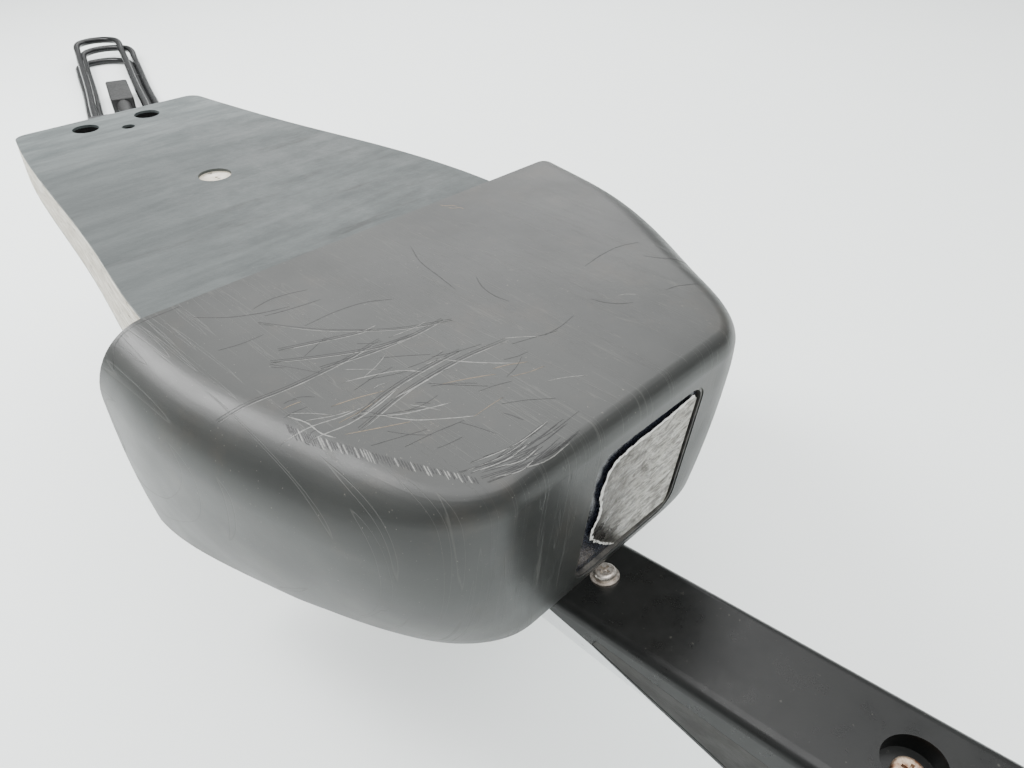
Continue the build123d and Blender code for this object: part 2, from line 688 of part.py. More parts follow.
with BuildPart() as arm_lower_shell:
    with BuildSketch(tube_plane.offset(FRONT_WALL_X + BUSH_T)):
        with Locations((0, SHELL_Z - AXIS_Z)):
            Circle(SHELL_R)
        with Locations((0, SHELL_Z - AXIS_Z + 5)):
            Rectangle(2 * SHELL_R, 10)
        with Locations((0, SHELL_Z - AXIS_Z)):
            Circle(SHELL_R - 2, mode=Mode.SUBTRACT)
        with Locations((0, SHELL_Z - AXIS_Z + 20)):
            Rectangle(2 * SHELL_R - 4, 40, mode=Mode.SUBTRACT)
    extrude(amount=ARM_END - 3 - FRONT_WALL_X - BUSH_T)
    for x, bridge_top in ((ROOT_SCREW_X, -77.4), (TIP_SCREW_X, -74), (END_SCREW_X, -74)):
        with BuildSketch(Plane.XY.offset(BRIDGE_Z)):
            with Locations((x, 0)):
                Rectangle(16, 2 * SHELL_R)
        extrude(amount=bridge_top - BRIDGE_Z)
        with BuildSketch(Plane.XZ.offset(-SHELL_R)):
            with Locations((x, (BRIDGE_Z - 84) / 2)):
                Rectangle(16, BRIDGE_Z + 84.2)
        extrude(amount=2)
        with BuildSketch(Plane.XZ.offset(SHELL_R - 2)):
            with Locations((x, (BRIDGE_Z - 84) / 2)):
                Rectangle(16, BRIDGE_Z + 84.2)
        extrude(amount=2)
    with BuildSketch(Plane.XY.offset(-90)):
        with Locations((ROOT_SCREW_X, 0), (TIP_SCREW_X, 0), (END_SCREW_X, 0)):
            Circle(3)
    extrude(amount=30, mode=Mode.SUBTRACT)

root_seat = Plane(origin=(ROOT_SCREW_X, 0, arm_top(ROOT_SCREW_X)), x_dir=(0, 1, 0),
                  z_dir=(-math.sin(math.radians(ARM_RISE)), 0, math.cos(math.radians(ARM_RISE))))

with BuildPart() as root_washer:
    with BuildSketch(root_seat):
        Circle(6)
        Circle(2.7, mode=Mode.SUBTRACT)
    extrude(amount=1.2)

with BuildPart() as root_screw:
    with BuildSketch(root_seat.offset(1.2)):
        Circle(SCREW_HEAD_R)
    extrude(amount=3.2)
    fillet(faces().sort_by(Axis.Z)[-1].edges(), 1.6)
    with BuildSketch(root_seat.offset(4.4)):
        Rectangle(5, 1.1)
        Rectangle(1.1, 5)
    extrude(amount=-1.6, mode=Mode.SUBTRACT)
    with BuildSketch(root_seat.offset(1.2)):
        Circle(2)
    extrude(amount=-8.5)

with BuildPart() as tip_screws:
    with BuildSketch(Plane.XY.offset(-66)):
        with Locations((TIP_SCREW_X, 0), (END_SCREW_X, 0)):
            Circle(SCREW_HEAD_R + 0.6)
    extrude(amount=3.4)
    fillet(edges().group_by(Axis.Z)[-1], 1.6)
    with BuildSketch(Plane.XY.offset(-62.6)):
        with Locations((TIP_SCREW_X, 0), (END_SCREW_X, 0)):
            Rectangle(5.4, 1.2)
            Rectangle(1.2, 5.4)
    extrude(amount=-1.7, mode=Mode.SUBTRACT)
    with BuildSketch(Plane.XY.offset(-66)):
        with Locations((TIP_SCREW_X, 0), (END_SCREW_X, 0)):
            Circle(2)
    extrude(amount=-15)

COLLAR_LENGTH = 16.0

with BuildPart() as arm_collar:
    with BuildSketch(tube_plane.offset(ARM_END)):
        with Locations((0, SHELL_Z - AXIS_Z)):
            Circle(SHELL_R + 1)
        with Locations((0, SHELL_Z - AXIS_Z + 20)):
            RectangleRounded(2 * SHELL_R, 52, 5)
        Circle(TUBE_R + 2, mode=Mode.SUBTRACT)
    extrude(amount=COLLAR_LENGTH)
    fillet(edges().group_by(Axis.X)[-1].filter_by(lambda e: e.center().Z > AXIS_Z + 16), 2)

with BuildPart() as collar_bush:
    with BuildSketch(tube_plane.offset(ARM_END)):
        Circle(TUBE_R + 2)
        Circle(TUBE_R + RUN_GAP, mode=Mode.SUBTRACT)
    extrude(amount=COLLAR_LENGTH)
    with BuildSketch(tube_plane.offset(ARM_END + COLLAR_LENGTH)):
        Circle(TUBE_R + 4.5)
        Circle(TUBE_R + RUN_GAP, mode=Mode.SUBTRACT)
    extrude(amount=2.5)

# ---------------------------------------------------------------- steering tube and motor pod
NECK_X = POD_X - POD_R - 34
TUBE_START = 242.0

with BuildPart() as steering_tube:
    with BuildSketch(tube_plane.offset(TUBE_START)):
        Circle(TUBE_R)
        Circle(TUBE_BORE_R, mode=Mode.SUBTRACT)
    extrude(amount=POD_X - POD_R - 2 - TUBE_START)

with BuildPart() as pod_barrel:
    with BuildSketch(pod_plane.offset(-POD_HALF)):
        Circle(POD_R)
        Circle(POD_R - 3, mode=Mode.SUBTRACT)
    extrude(amount=2 * POD_HALF)
    with BuildSketch(tube_plane.offset(POD_X - POD_R - 4)):
        Circle(TUBE_BORE_R - 2)
    extrude(amount=12, mode=Mode.SUBTRACT)

with BuildPart() as pod_core:
    with BuildSketch(pod_plane.offset(-POD_HALF)):
        Circle(POD_R)
    extrude(amount=2 * POD_HALF)

with BuildPart() as pod_neck:
    with BuildSketch(tube_plane.offset(NECK_X)):
        Circle(TUBE_R + 5)
    with BuildSketch(tube_plane.offset(POD_X - POD_R - 8)):
        Ellipse(26, 19)
    with BuildSketch(tube_plane.offset(POD_X - POD_R + 14)):
        Ellipse(38, 24)
    loft()
    add(pod_core.part, mode=Mode.SUBTRACT)
    with BuildSketch(tube_plane.offset(NECK_X - 1)):
        Circle(TUBE_R)
    extrude(amount=POD_X - POD_R - 1 - NECK_X, mode=Mode.SUBTRACT)
    with BuildSketch(tube_plane.offset(NECK_X)):
        Circle(TUBE_BORE_R - 2)
    extrude(amount=40, mode=Mode.SUBTRACT)

BEARING_R = 15.0
BEARING_T = 9.0
SHAFT_R = 5.0

with BuildPart() as nose_cone:
    with BuildSketch(Plane.XY.offset(AXIS_Z)):
        with BuildLine():
            Line((POD_X, -POD_HALF), (POD_X + POD_R, -POD_HALF))
            Spline((POD_X + POD_R, -POD_HALF), (POD_X + 30, -POD_HALF - 34), (POD_X, -POD_HALF - 50),
                   tangents=[(0, -1), (-1, 0)])
            Line((POD_X, -POD_HALF - 50), (POD_X, -POD_HALF))
        make_face()
        with Locations((POD_X + 18.4, -POD_HALF + 3)):
            Rectangle(36.8, 6)
    revolve(axis=Axis((POD_X, 0, AXIS_Z), (0, 1, 0)))
    with BuildSketch(pod_plane.offset(-POD_HALF + 6)):
        Circle(BEARING_R)
    extrude(amount=-BEARING_T, mode=Mode.SUBTRACT)

with BuildPart() as tail_bell:
    with BuildSketch(Plane.XY.offset(AXIS_Z)):
        with BuildLine():
            Polyline((POD_X, POD_HALF - 6), (POD_X + 36.8, POD_HALF - 6), (POD_X + 36.8, POD_HALF),
                     (POD_X + POD_R, POD_HALF))
            Spline((POD_X + POD_R, POD_HALF), (POD_X + 34, POD_HALF + 20), (POD_X + 24, POD_HALF + 32),
                   tangents=[(0, 1), (-1, 0.8)])
            Polyline((POD_X + 24, POD_HALF + 32), (POD_X, POD_HALF + 32), (POD_X, POD_HALF - 6))
        make_face()
    revolve(axis=Axis((POD_X, 0, AXIS_Z), (0, 1, 0)))
    with BuildSketch(pod_plane.offset(POD_HALF - 6)):
        Circle(BEARING_R)
    extrude(amount=BEARING_T, mode=Mode.SUBTRACT)
    with BuildSketch(pod_plane.offset(POD_HALF - 6)):
        Circle(SHAFT_R + 1)
    extrude(amount=60, mode=Mode.SUBTRACT)
    with BuildSketch(pod_plane.offset(POD_HALF + 32)):
        Circle(11)
    extrude(amount=-7, mode=Mode.SUBTRACT)
    with BuildSketch(pod_plane.offset(POD_HALF + 8)):
        with PolarLocations(31, 2, start_angle=90):
            Circle(4.4)
    extrude(amount=40, mode=Mode.SUBTRACT)

with BuildPart() as pod_bearings:
    with BuildSketch(pod_plane.offset(-POD_HALF + 6 - BEARING_T), pod_plane.offset(POD_HALF - 6)):
        Circle(BEARING_R)
        Circle(SHAFT_R + RUN_GAP, mode=Mode.SUBTRACT)
    extrude(amount=BEARING_T)

with BuildPart() as shaft_seal:
    with BuildSketch(pod_plane.offset(POD_HALF + 25)):
        Circle(11)
        Circle(SHAFT_R + RUN_GAP, mode=Mode.SUBTRACT)
    extrude(amount=7)

with BuildPart() as magnets:
    with BuildSketch(pod_plane.offset(-38)):
        Circle(POD_R - 3)
        Circle(POD_R - 9, mode=Mode.SUBTRACT)
        Rectangle(2 * POD_R, 24, mode=Mode.SUBTRACT)
    extrude(amount=88)

with BuildPart() as brush_holders:
    with BuildSketch(pod_plane.offset(-72)):
        with PolarLocations(25, 2):
            Rectangle(18, 10)
    extrude(amount=12)
    with BuildSketch(pod_plane.offset(-75)):
        Circle(36.8)
        Circle(20, mode=Mode.SUBTRACT)
    extrude(amount=3)

with BuildPart() as skeg:
    with BuildSketch(Plane.XY.offset(AXIS_Z - 2.5)):
        with BuildLine():
            Polyline((POD_X + 30, -40), (POD_X + 30, 70), (POD_X + POD_R + 50, 64), (POD_X + POD_R + 62, 30),
                     (POD_X + POD_R + 30, 6), close=True)
        make_face()
        fillet(vertices().group_by(Axis.X)[-1], 16)
        fillet(vertices().sort_by(Axis.Y)[-1], 1)
    extrude(amount=5)
    add(pod_core.part, mode=Mode.SUBTRACT)

with BuildPart() as pod_bolts:
    with BuildSketch(pod_plane.offset(POD_HALF + 8)):
        with PolarLocations(31, 2, start_angle=90):
            RegularPolygon(3.6, 6)
    extrude(amount=5)

# ---------------------------------------------------------------- rotor and propeller
PROP_Y = POD_HALF + 34
HUB_R = 19.0
HUB_LENGTH = 40.0
# each blade station: radius, chord, thickness, pitch in degrees
BLADE_STATIONS = [(14, 26, 5, 50), (50, 52, 4.2, 34), (86, 50, 3.2, 25), (PROP_R, 20, 2, 21)]

with BuildPart() as prop_shaft:
    with BuildSketch(pod_plane.offset(-POD_HALF - 1)):
        Circle(SHAFT_R)
    extrude(amount=PROP_Y + HUB_LENGTH + 12 + POD_HALF + 1)
    with BuildSketch(Plane.YZ.offset(POD_X - 13)):
        with Locations((PROP_Y + 2.1, AXIS_Z)):
            Circle(2)
    extrude(amount=26, mode=Mode.SUBTRACT)

with BuildPart() as armature:
    with BuildSketch(pod_plane.offset(-34)):
        Circle(30)
        with PolarLocations(28, 12):
            Rectangle(5, 2.4, mode=Mode.SUBTRACT)
        Circle(SHAFT_R, mode=Mode.SUBTRACT)
    extrude(amount=80)
    with BuildSketch(pod_plane.offset(-48), pod_plane.offset(46)):
        Circle(25)
        Circle(SHAFT_R, mode=Mode.SUBTRACT)
    extrude(amount=14)

with BuildPart() as commutator:
    with BuildSketch(pod_plane.offset(-74)):
        Circle(15.5)
        Circle(SHAFT_R, mode=Mode.SUBTRACT)
    extrude(amount=20)

with BuildPart() as propeller:
    with BuildSketch(pod_plane.offset(PROP_Y)):
        Circle(HUB_R)
    with BuildSketch(pod_plane.offset(PROP_Y + HUB_LENGTH)):
        Circle(HUB_R - 4)
    loft()
    for turn in (1, -1):
        for radius, blade, thickness, angle in BLADE_STATIONS:
            lean = math.radians(angle)
            station = Plane(origin=(POD_X + turn * radius, PROP_Y + HUB_LENGTH / 2, AXIS_Z),
                            x_dir=(0, math.sin(lean), turn * math.cos(lean)), z_dir=(turn, 0, 0))
            with BuildSketch(station):
                Ellipse(blade / 2, thickness / 2)
        loft()
    with BuildSketch(pod_plane.offset(PROP_Y)):
        Circle(SHAFT_R)
    extrude(amount=HUB_LENGTH, mode=Mode.SUBTRACT)
    with BuildSketch(pod_plane.offset(PROP_Y)):
        Rectangle(27, 4.2)
    extrude(amount=4.2, mode=Mode.SUBTRACT)

with BuildPart() as drive_pin:
    with BuildSketch(Plane.YZ.offset(POD_X - 13)):
        with Locations((PROP_Y + 2.1, AXIS_Z)):
            Circle(2)
    extrude(amount=26)

with BuildPart() as prop_nut:
    with BuildSketch(pod_plane.offset(PROP_Y + HUB_LENGTH)):
        Circle(10)
        Circle(SHAFT_R, mode=Mode.SUBTRACT)
    extrude(amount=1.5)
    with BuildSketch(pod_plane.offset(PROP_Y + HUB_LENGTH + 1.5)):
        RegularPolygon(9.2, 6)
        Circle(SHAFT_R, mode=Mode.SUBTRACT)
    extrude(amount=7)

# ---------------------------------------------------------------- power cord, its hank, tie and plug
CORD_ROUTE = [
    (GLAND_END, 0, GLAND_Z),
    (-18, 2, -18),
    (-48, 10, -42),
    (-67, 25, -80),
    (-86, 46, -112),
    (-116, 70, CORD_Z),
    (-156, 91, CORD_Z),
    (-214, 106, CORD_Z),
    (-282, 108, CORD_Z),
    (-354, 104, CORD_Z),
    (-411, 123, CORD_Z),
]
HANK_X = -519.0              # a point on the hank's centre line
HANK_Y = 192.0
HANK_TURN = 161.4            # degrees, the way the hank points
HANK_NEAR = -150.0           # its ends, along its own line
HANK_FAR = 277.0
HANK_WIDTH = 78.0
HANK_LANE = 20.0             # width of the strands on each side
HANK_HEIGHT = 25.5

corner_radii = []
for before, corner, after in zip(CORD_ROUTE, CORD_ROUTE[1:], CORD_ROUTE[2:]):
    run_in = Vector(*corner) - Vector(*before)
    run_out = Vector(*after) - Vector(*corner)
    half_turn = math.radians(run_in.get_angle(run_out) / 2)
    corner_radii.append(0.45 * min(run_in.length, run_out.length) / math.tan(half_turn))
print("cord radii", [round(radius) for radius in corner_radii])

with BuildPart() as power_cord:
    with BuildLine() as cord_line:
        FilletPolyline(*CORD_ROUTE, radius=corner_radii)
    with BuildSketch(Plane(origin=CORD_ROUTE[0], z_dir=cord_line.line % 0)):
        Circle(CORD_D / 2)
    sweep()
cord_length = sum(edge.length for edge in cord_line.edges())
cord_section = math.pi * CORD_D ** 2 / 4
volume_ratio = power_cord.part.volume / cord_section / cord_length
print("cord length", round(cord_length, 1), "volume ratio", round(volume_ratio, 4))

hank_plane = Plane(origin=(HANK_X, HANK_Y, FLOOR_Z), z_dir=(0, 0, 1),
                   x_dir=(math.cos(math.radians(HANK_TURN)), math.sin(math.radians(HANK_TURN)), 0))
hank_middle = (HANK_NEAR + HANK_FAR) / 2

with BuildPart() as cord_hank:
    with BuildSketch(hank_plane):
        with Locations((hank_middle, 0)):
            SlotOverall(HANK_FAR - HANK_NEAR, HANK_WIDTH)
            SlotOverall(HANK_FAR - HANK_NEAR - 2 * HANK_LANE, HANK_WIDTH - 2 * HANK_LANE, mode=Mode.SUBTRACT)
    extrude(amount=HANK_HEIGHT)
    fillet(edges().group_by(Axis.Z)[-1], 5)

TIE_AT = -98.0
TIE_T = 1.2

with BuildPart() as cord_tie:
    with BuildSketch(Plane(origin=hank_plane.from_local_coords((TIE_AT, 0, HANK_HEIGHT / 2)),
                           x_dir=hank_plane.y_dir, z_dir=hank_plane.x_dir)):
        RectangleRounded(HANK_WIDTH + 2 * TIE_T, HANK_HEIGHT, 6)
        RectangleRounded(HANK_WIDTH, HANK_HEIGHT - 2 * TIE_T, 5, mode=Mode.SUBTRACT)
    extrude(amount=14)

PLUG_BACK = -24.0            # along the hank's line: where the plug's body starts
PLUG_TIP = 55.0
BOOT_END = -62.0

with BuildPart() as battery_plug:
    with BuildSketch(hank_plane.offset(0.3)):
        with Locations(((PLUG_BACK + PLUG_TIP) / 2, 0)):
            RectangleRounded(PLUG_TIP - PLUG_BACK, 25, 3)
    extrude(amount=19)
    fillet(edges().group_by(Axis.Z)[-1], 2)
    boot_centre = hank_plane.from_local_coords((0, 0, 9.5))
    boot_plane = Plane(origin=boot_centre, x_dir=hank_plane.y_dir, z_dir=hank_plane.x_dir)
    with BuildSketch(boot_plane.offset(PLUG_BACK)):
        Circle(8)
    with BuildSketch(boot_plane.offset(BOOT_END)):
        Circle(5.6)
    loft()

# ---------------------------------------------------------------- files
pieces = {
    "board_core": board_core,
    "board_top_skin": board_top_skin,
    "board_under_skin": board_under_skin,
    "hinge_bracket": hinge_bracket,
    "bracket_bolts": bracket_bolts,
    "hinge_pin": hinge_pin,
    "tilt_knob": tilt_knob,
    "cable_box": cable_box,
    "cable_box_lid": cable_box_lid,
    "cable_box_screws": cable_box_screws,
    "power_rocker": power_rocker,
    "cable_gland": cable_gland,
    "fuse_block": fuse_block,
    "top_cowl": top_cowl,
    "lower_cowl": lower_cowl,
    "cowl_screws": cowl_screws,
    "label_bezel": label_bezel,
    "label_backing": label_backing,
    "label_foil": label_foil,
    "head_chassis": head_chassis,
    "hinge_bushes": hinge_bushes,
    "tube_bushes": tube_bushes,
    "steering_motor": steering_motor,
    "steering_pinion": steering_pinion,
    "steering_gear": steering_gear,
    "control_board": control_board,
    "board_posts": board_posts,
    "heat_sink": heat_sink,
    "arm_cover": arm_cover,
    "arm_panel_left": arm_panel_left,
    "arm_panel_right": arm_panel_right,
    "arm_lower_shell": arm_lower_shell,
    "root_washer": root_washer,
    "root_screw": root_screw,
    "tip_screws": tip_screws,
    "arm_collar": arm_collar,
    "collar_bush": collar_bush,
    "steering_tube": steering_tube,
    "pod_barrel": pod_barrel,
    "pod_neck": pod_neck,
    "nose_cone": nose_cone,
    "tail_bell": tail_bell,
    "pod_bearings": pod_bearings,
    "shaft_seal": shaft_seal,
    "magnets": magnets,
    "brush_holders": brush_holders,
    "skeg": skeg,
    "pod_bolts": pod_bolts,
    "prop_shaft": prop_shaft,
    "armature": armature,
    "commutator": commutator,
    "propeller": propeller,
    "drive_pin": drive_pin,
    "prop_nut": prop_nut,
    "power_cord": power_cord,
    "cord_hank": cord_hank,
    "cord_tie": cord_tie,
    "battery_plug": battery_plug,
}
for name, piece in pieces.items():
    placed = piece.part.moved(Location((-BOLT_X, 0, 0)))
    placed.label = name
    export_step(placed, f"parts/{name}.step")
    print(name, len(placed.solids()), round(placed.volume), placed.is_valid)
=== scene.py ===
"""Looks of the deck-mount trolling motor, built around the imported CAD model."""
import math
import random

import bmesh
import bpy
import numpy as np
from mathutils import Matrix, Vector
from mathutils.bvhtree import BVHTree


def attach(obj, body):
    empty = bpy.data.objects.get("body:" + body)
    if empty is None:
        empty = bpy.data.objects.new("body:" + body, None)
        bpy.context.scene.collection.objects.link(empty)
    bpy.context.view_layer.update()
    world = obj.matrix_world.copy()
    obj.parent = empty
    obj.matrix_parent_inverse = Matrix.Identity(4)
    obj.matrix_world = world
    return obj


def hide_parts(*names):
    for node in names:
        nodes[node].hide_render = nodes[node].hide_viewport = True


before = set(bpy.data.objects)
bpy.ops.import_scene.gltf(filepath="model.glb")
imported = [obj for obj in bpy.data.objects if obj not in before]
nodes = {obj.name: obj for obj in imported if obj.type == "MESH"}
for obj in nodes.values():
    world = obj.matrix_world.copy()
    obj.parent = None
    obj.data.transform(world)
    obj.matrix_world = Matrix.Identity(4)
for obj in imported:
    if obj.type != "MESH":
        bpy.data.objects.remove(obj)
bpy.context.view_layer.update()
MM = 0.001
# Shapes are given in mm from the datum that part.py draws from; the camera, the lamps and the
# places inside materials are in metres from the frame's origin.
SHIFT = Vector((8, 0, 0))
FLOOR_Z = -134.5

# ------------------------------------------------------------------ camera
camera_data = bpy.data.cameras.new("camera")
camera_data.sensor_width = 36
camera_data.lens = 28.48
camera_data.clip_start = 0.01
camera = bpy.data.objects.new("camera", camera_data)
bpy.context.scene.collection.objects.link(camera)
camera.location = (0.5166, -0.1807, 0.1866)
camera.rotation_euler = (math.radians(53.2), 0, math.radians(44.61))
bpy.context.scene.camera = camera


# ------------------------------------------------------------------ shader helpers
class Shader:
    """A material whose nodes are made by short calls; every pattern is in the object's own metres."""

    def __init__(self, name, **sockets):
        self.material = bpy.data.materials.new(name)
        self.material.use_nodes = True
        self.tree = self.material.node_tree
        self.bsdf = self.tree.nodes["Principled BSDF"]
        self.at = self.node("ShaderNodeTexCoord").outputs["Object"]
        self.height = None
        for socket, value in sockets.items():
            self.bsdf.inputs[socket.replace("_", " ")].default_value = value

    def node(self, kind, **settings):
        made = self.tree.nodes.new(kind)
        for key, value in settings.items():
            setattr(made, key, value)
        return made

    def link(self, value, socket):
        if hasattr(value, "is_linked"):
            self.tree.links.new(value, socket)
        else:
            socket.default_value = value

    def math(self, operation, a, b=0.0, clamp=False):
        made = self.node("ShaderNodeMath", operation=operation, use_clamp=clamp)
        self.link(a, made.inputs[0])
        self.link(b, made.inputs[1])
        return made.outputs[0]

    def placed(self, scale=(1, 1, 1), turn=(0, 0, 0), shift=(0, 0, 0)):
        made = self.node("ShaderNodeMapping")
        self.link(self.at, made.inputs["Vector"])
        made.inputs["Scale"].default_value = scale
        made.inputs["Rotation"].default_value = [math.radians(t) for t in turn]
        made.inputs["Location"].default_value = shift
        return made.outputs[0]

    def noise(self, scale, detail=3.0, rough=0.55, at=None, bend=0.0):
        made = self.node("ShaderNodeTexNoise")
        self.link(at or self.at, made.inputs["Vector"])
        made.inputs["Scale"].default_value = scale
        made.inputs["Detail"].default_value = detail
        made.inputs["Roughness"].default_value = rough
        made.inputs["Distortion"].default_value = bend
        return made.outputs[0]

    def level(self, value, low, high, to_low=0.0, to_high=1.0):
        made = self.node("ShaderNodeMapRange")
        made.interpolation_type = "SMOOTHSTEP"
        self.link(value, made.inputs[0])
        for i, number in enumerate((low, high, to_low, to_high)):
            made.inputs[i + 1].default_value = number
        return made.outputs[0]

    def mix(self, share, a, b):
        made = self.node("ShaderNodeMix", data_type="RGBA")
        self.link(share, made.inputs[0])
        for value, socket in ((a, made.inputs[6]), (b, made.inputs[7])):
            if hasattr(value, "is_linked"):
                self.tree.links.new(value, socket)
            else:
                socket.default_value = (*value, 1)
        return made.outputs[2]

    def axis(self, which):
        made = self.node("ShaderNodeSeparateXYZ")
        self.link(self.at, made.inputs[0])
        return made.outputs[which]

    def near(self, centre, reach, fade):
        """1 inside a ball or ellipsoid of the given half sizes, falling to 0 outside it."""
        half = reach if hasattr(reach, "__len__") else (reach,) * 3
        at = self.placed(scale=[1 / h for h in half], shift=[-c / h for c, h in zip(centre, half)])
        made = self.node("ShaderNodeVectorMath", operation="LENGTH")
        self.link(at, made.inputs[0])
        return self.level(made.outputs["Value"], 1 - fade, 1 + fade, 1, 0)

    def hairlines(self, turn, seed, density=0.63, width=0.012, length=9.0, across=240.0):
        """Thin straight scratches along one direction, as a mask."""
        at = self.placed(scale=(length, across, length), turn=turn, shift=(seed, seed * 0.7, seed * 1.3))
        streak = self.noise(1.0, detail=1.0, at=at, bend=0.25)
        distance = self.math("ABSOLUTE", self.math("SUBTRACT", streak, density))
        return self.level(distance, 0, width, 1, 0)

    def raise_by(self, value, distance):
        """Adds a bump of the given height, in metres, to what the surface already has."""
        made = self.node("ShaderNodeBump")
        made.inputs["Distance"].default_value = distance
        self.link(value, made.inputs["Height"])
        if self.height is not None:
            self.tree.links.new(self.height, made.inputs["Normal"])
        self.height = made.outputs[0]
        self.tree.links.new(self.height, self.bsdf.inputs["Normal"])

    def use(self, **sockets):
        for socket, value in sockets.items():
            self.link(value, self.bsdf.inputs[socket.replace("_", " ")])
        return self


def surface(name, colour, worn, rough, patch=18.0, grain=2500.0, depth=0.00003, speck=None,
            stretch=(1, 1, 1), **sockets):
    """A general worn finish: two mottled colours, uneven gloss, fine grain, and specks of dirt."""
    made = Shader(name, **sockets)
    at = made.placed(scale=stretch)
    cloud = made.noise(patch, 6, 0.65, at)
    tone = made.mix(made.level(cloud, 0.35, 0.68), colour, worn)
    if speck:
        spots = made.level(made.noise(420, 2, 0.7, at), 0.69, 0.76)
        tone = made.mix(spots, tone, speck)
    fine = made.noise(grain, 2, 0.6, at)
    made.use(Base_Color=tone, Roughness=made.level(made.noise(patch * 7, 4, 0.7, at), 0.3, 0.7, *rough))
    made.raise_by(fine, depth)
    return made


def finish(made, *names):
    for name in names:
        nodes[name].data.materials.clear()
        nodes[name].data.materials.append(made.material)


def put_on(obj, made, body):
    obj.data.materials.append(made.material)
    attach(obj, body)
    return obj


def mesh_object(name, points, faces, smooth=True):
    mesh = bpy.data.meshes.new(name)
    mesh.from_pydata([(Vector(p) + SHIFT) * MM for p in points], [], faces)
    mesh.polygons.foreach_set("use_smooth", [smooth] * len(mesh.polygons))
    mesh.update()
    obj = bpy.data.objects.new(name, mesh)
    bpy.context.scene.collection.objects.link(obj)
    return obj


def add_modifier(obj, kind, **settings):
    made = obj.modifiers.new(kind.lower(), kind)
    for key, value in settings.items():
        setattr(made, key, value)
    return made


def apply_modifiers(obj):
    evaluated = obj.evaluated_get(bpy.context.evaluated_depsgraph_get())
    mesh = bpy.data.meshes.new_from_object(evaluated)
    obj.modifiers.clear()
    obj.data = mesh
    return obj


def bvh_of(obj):
    bm = bmesh.new()
    bm.from_mesh(obj.data)
    tree = BVHTree.FromBMesh(bm)
    bm.free()
    return tree


def rounded_rectangle(width, height, radius, steps=10):
    points = []
    for cx, cy, start in ((1, 1, 0), (-1, 1, 90), (-1, -1, 180), (1, -1, 270)):
        for i in range(steps + 1):
            a = math.radians(start + 90 * i / steps)
            points.append((cx * (width / 2 - radius) + radius * math.cos(a),
                           cy * (height / 2 - radius) + radius * math.sin(a)))
    return points


def prism(name, outline, place, low, high):
    n = len(outline)
    points = [place @ Vector((x, y, z)) for z in (low, high) for x, y in outline]
    faces = [(i, (i + 1) % n, n + (i + 1) % n, n + i) for i in range(n)]
    faces += [tuple(range(n))[::-1], tuple(range(n, 2 * n))]
    return mesh_object(name, points, faces, smooth=False)


# ------------------------------------------------------------------ power cord
CORD_R = 4.25
CORD_Z = FLOOR_Z + CORD_R
CORD_ROUTE = [(16, 0, -15), (-18, 2, -18), (-48, 10, -42), (-67, 25, -80), (-86, 46, -112),
              (-116, 70, CORD_Z), (-156, 91, CORD_Z), (-214, 106, CORD_Z), (-282, 108, CORD_Z),
              (-354, 103, CORD_Z), (-411, 118, CORD_Z)]
HANK = Matrix.Translation((-519, 192, FLOOR_Z)) @ Matrix.Rotation(math.radians(161.4), 4, "Z")
FAR_FOLD = 236.0             # along the hank: where its far and near folds are centred
NEAR_FOLD = -112.0
# each turn: its left lane, its right lane, the far fold's reach past FAR_FOLD,
# and its height at the start, on the way out, over the far fold, on the way back and at the end
HANK_TURNS = [(38, 27, -56, (4.3, 4.3, 4.5, 4.3, 4.3)),
              (28, 35, -22, (4.5, 8.0, 13.0, 6.0, 4.5)),
              (33, 22, 2, (10.5, 14.0, 20.6, 14.0, 11.0))]
TAIL_LANE, TAIL_HEIGHT = 35, 12.5
TAIL_BACK = 8                # how far the last near fold reaches past the others
# the cord's last stretch, back inside the hank to the plug
TAIL_ROUTE = [(-110, 31, 12), (-94, 20, 11), (-80, 8, 10), (-66, 0.5, 9.5), (-54, 0, 9.5)]
FOLD_SPREAD = 1.07           # control points stand this much outside the fold that they make
FOLD_ANGLES = (-72, -36, 0, 36, 72)


def fold(centre, left, right, low, high, way):
    """A half turn between lanes: way is 1 at the far end, from left to right, and -1 at the near end."""
    made = []
    for angle in FOLD_ANGLES[::-1] if way > 0 else FOLD_ANGLES:
        a = math.radians(angle)
        reach = (left + right) / 2 * FOLD_SPREAD
        share = 0.5 - 0.5 * way * math.sin(a)
        made.append((centre + way * reach * math.cos(a), (left - right) / 2 + reach * math.sin(a),
                     low + (high - low) * share))
    return made


hank_points = []
for turn, (left, right, reach, heights) in enumerate(HANK_TURNS):
    far = FAR_FOLD + reach
    # place along the hank, sideways sway, and share of the climb made by then
    way_out = ((-100, 0.0, 0), (-30, 1.2, 0.2), (50, -0.8, 0.5), (far - 50, 0.6, 1), (far - 14, 0.2, 1.4))
    way_back = ((far - 14, -0.2, 0), (far - 55, -0.6, 0.3), (50, 0.8, 0.7), (-30, -1.2, 0.9), (-100, 0.0, 1))
    for s, sway, share in way_out:
        z = heights[0] + (heights[1] - heights[0]) * share
        hank_points.append((s, left + sway, min(z, heights[2]) if turn else z))
    hank_points += fold(far, left, right, heights[2], heights[2], 1)
    for s, sway, share in way_back:
        z = heights[3] + (heights[4] - heights[3]) * share
        hank_points.append((s, -right + sway, z))
    if turn < len(HANK_TURNS) - 1:
        after_left, after_height = HANK_TURNS[turn + 1][0], HANK_TURNS[turn + 1][3][0]
        hank_points += fold(NEAR_FOLD, after_left, right, heights[4], after_height, -1)
last_right, last_height = HANK_TURNS[-1][1], HANK_TURNS[-1][3][4]
hank_points += fold(NEAR_FOLD - TAIL_BACK, TAIL_LANE, last_right, last_height, TAIL_HEIGHT, -1)
hank_points += TAIL_ROUTE

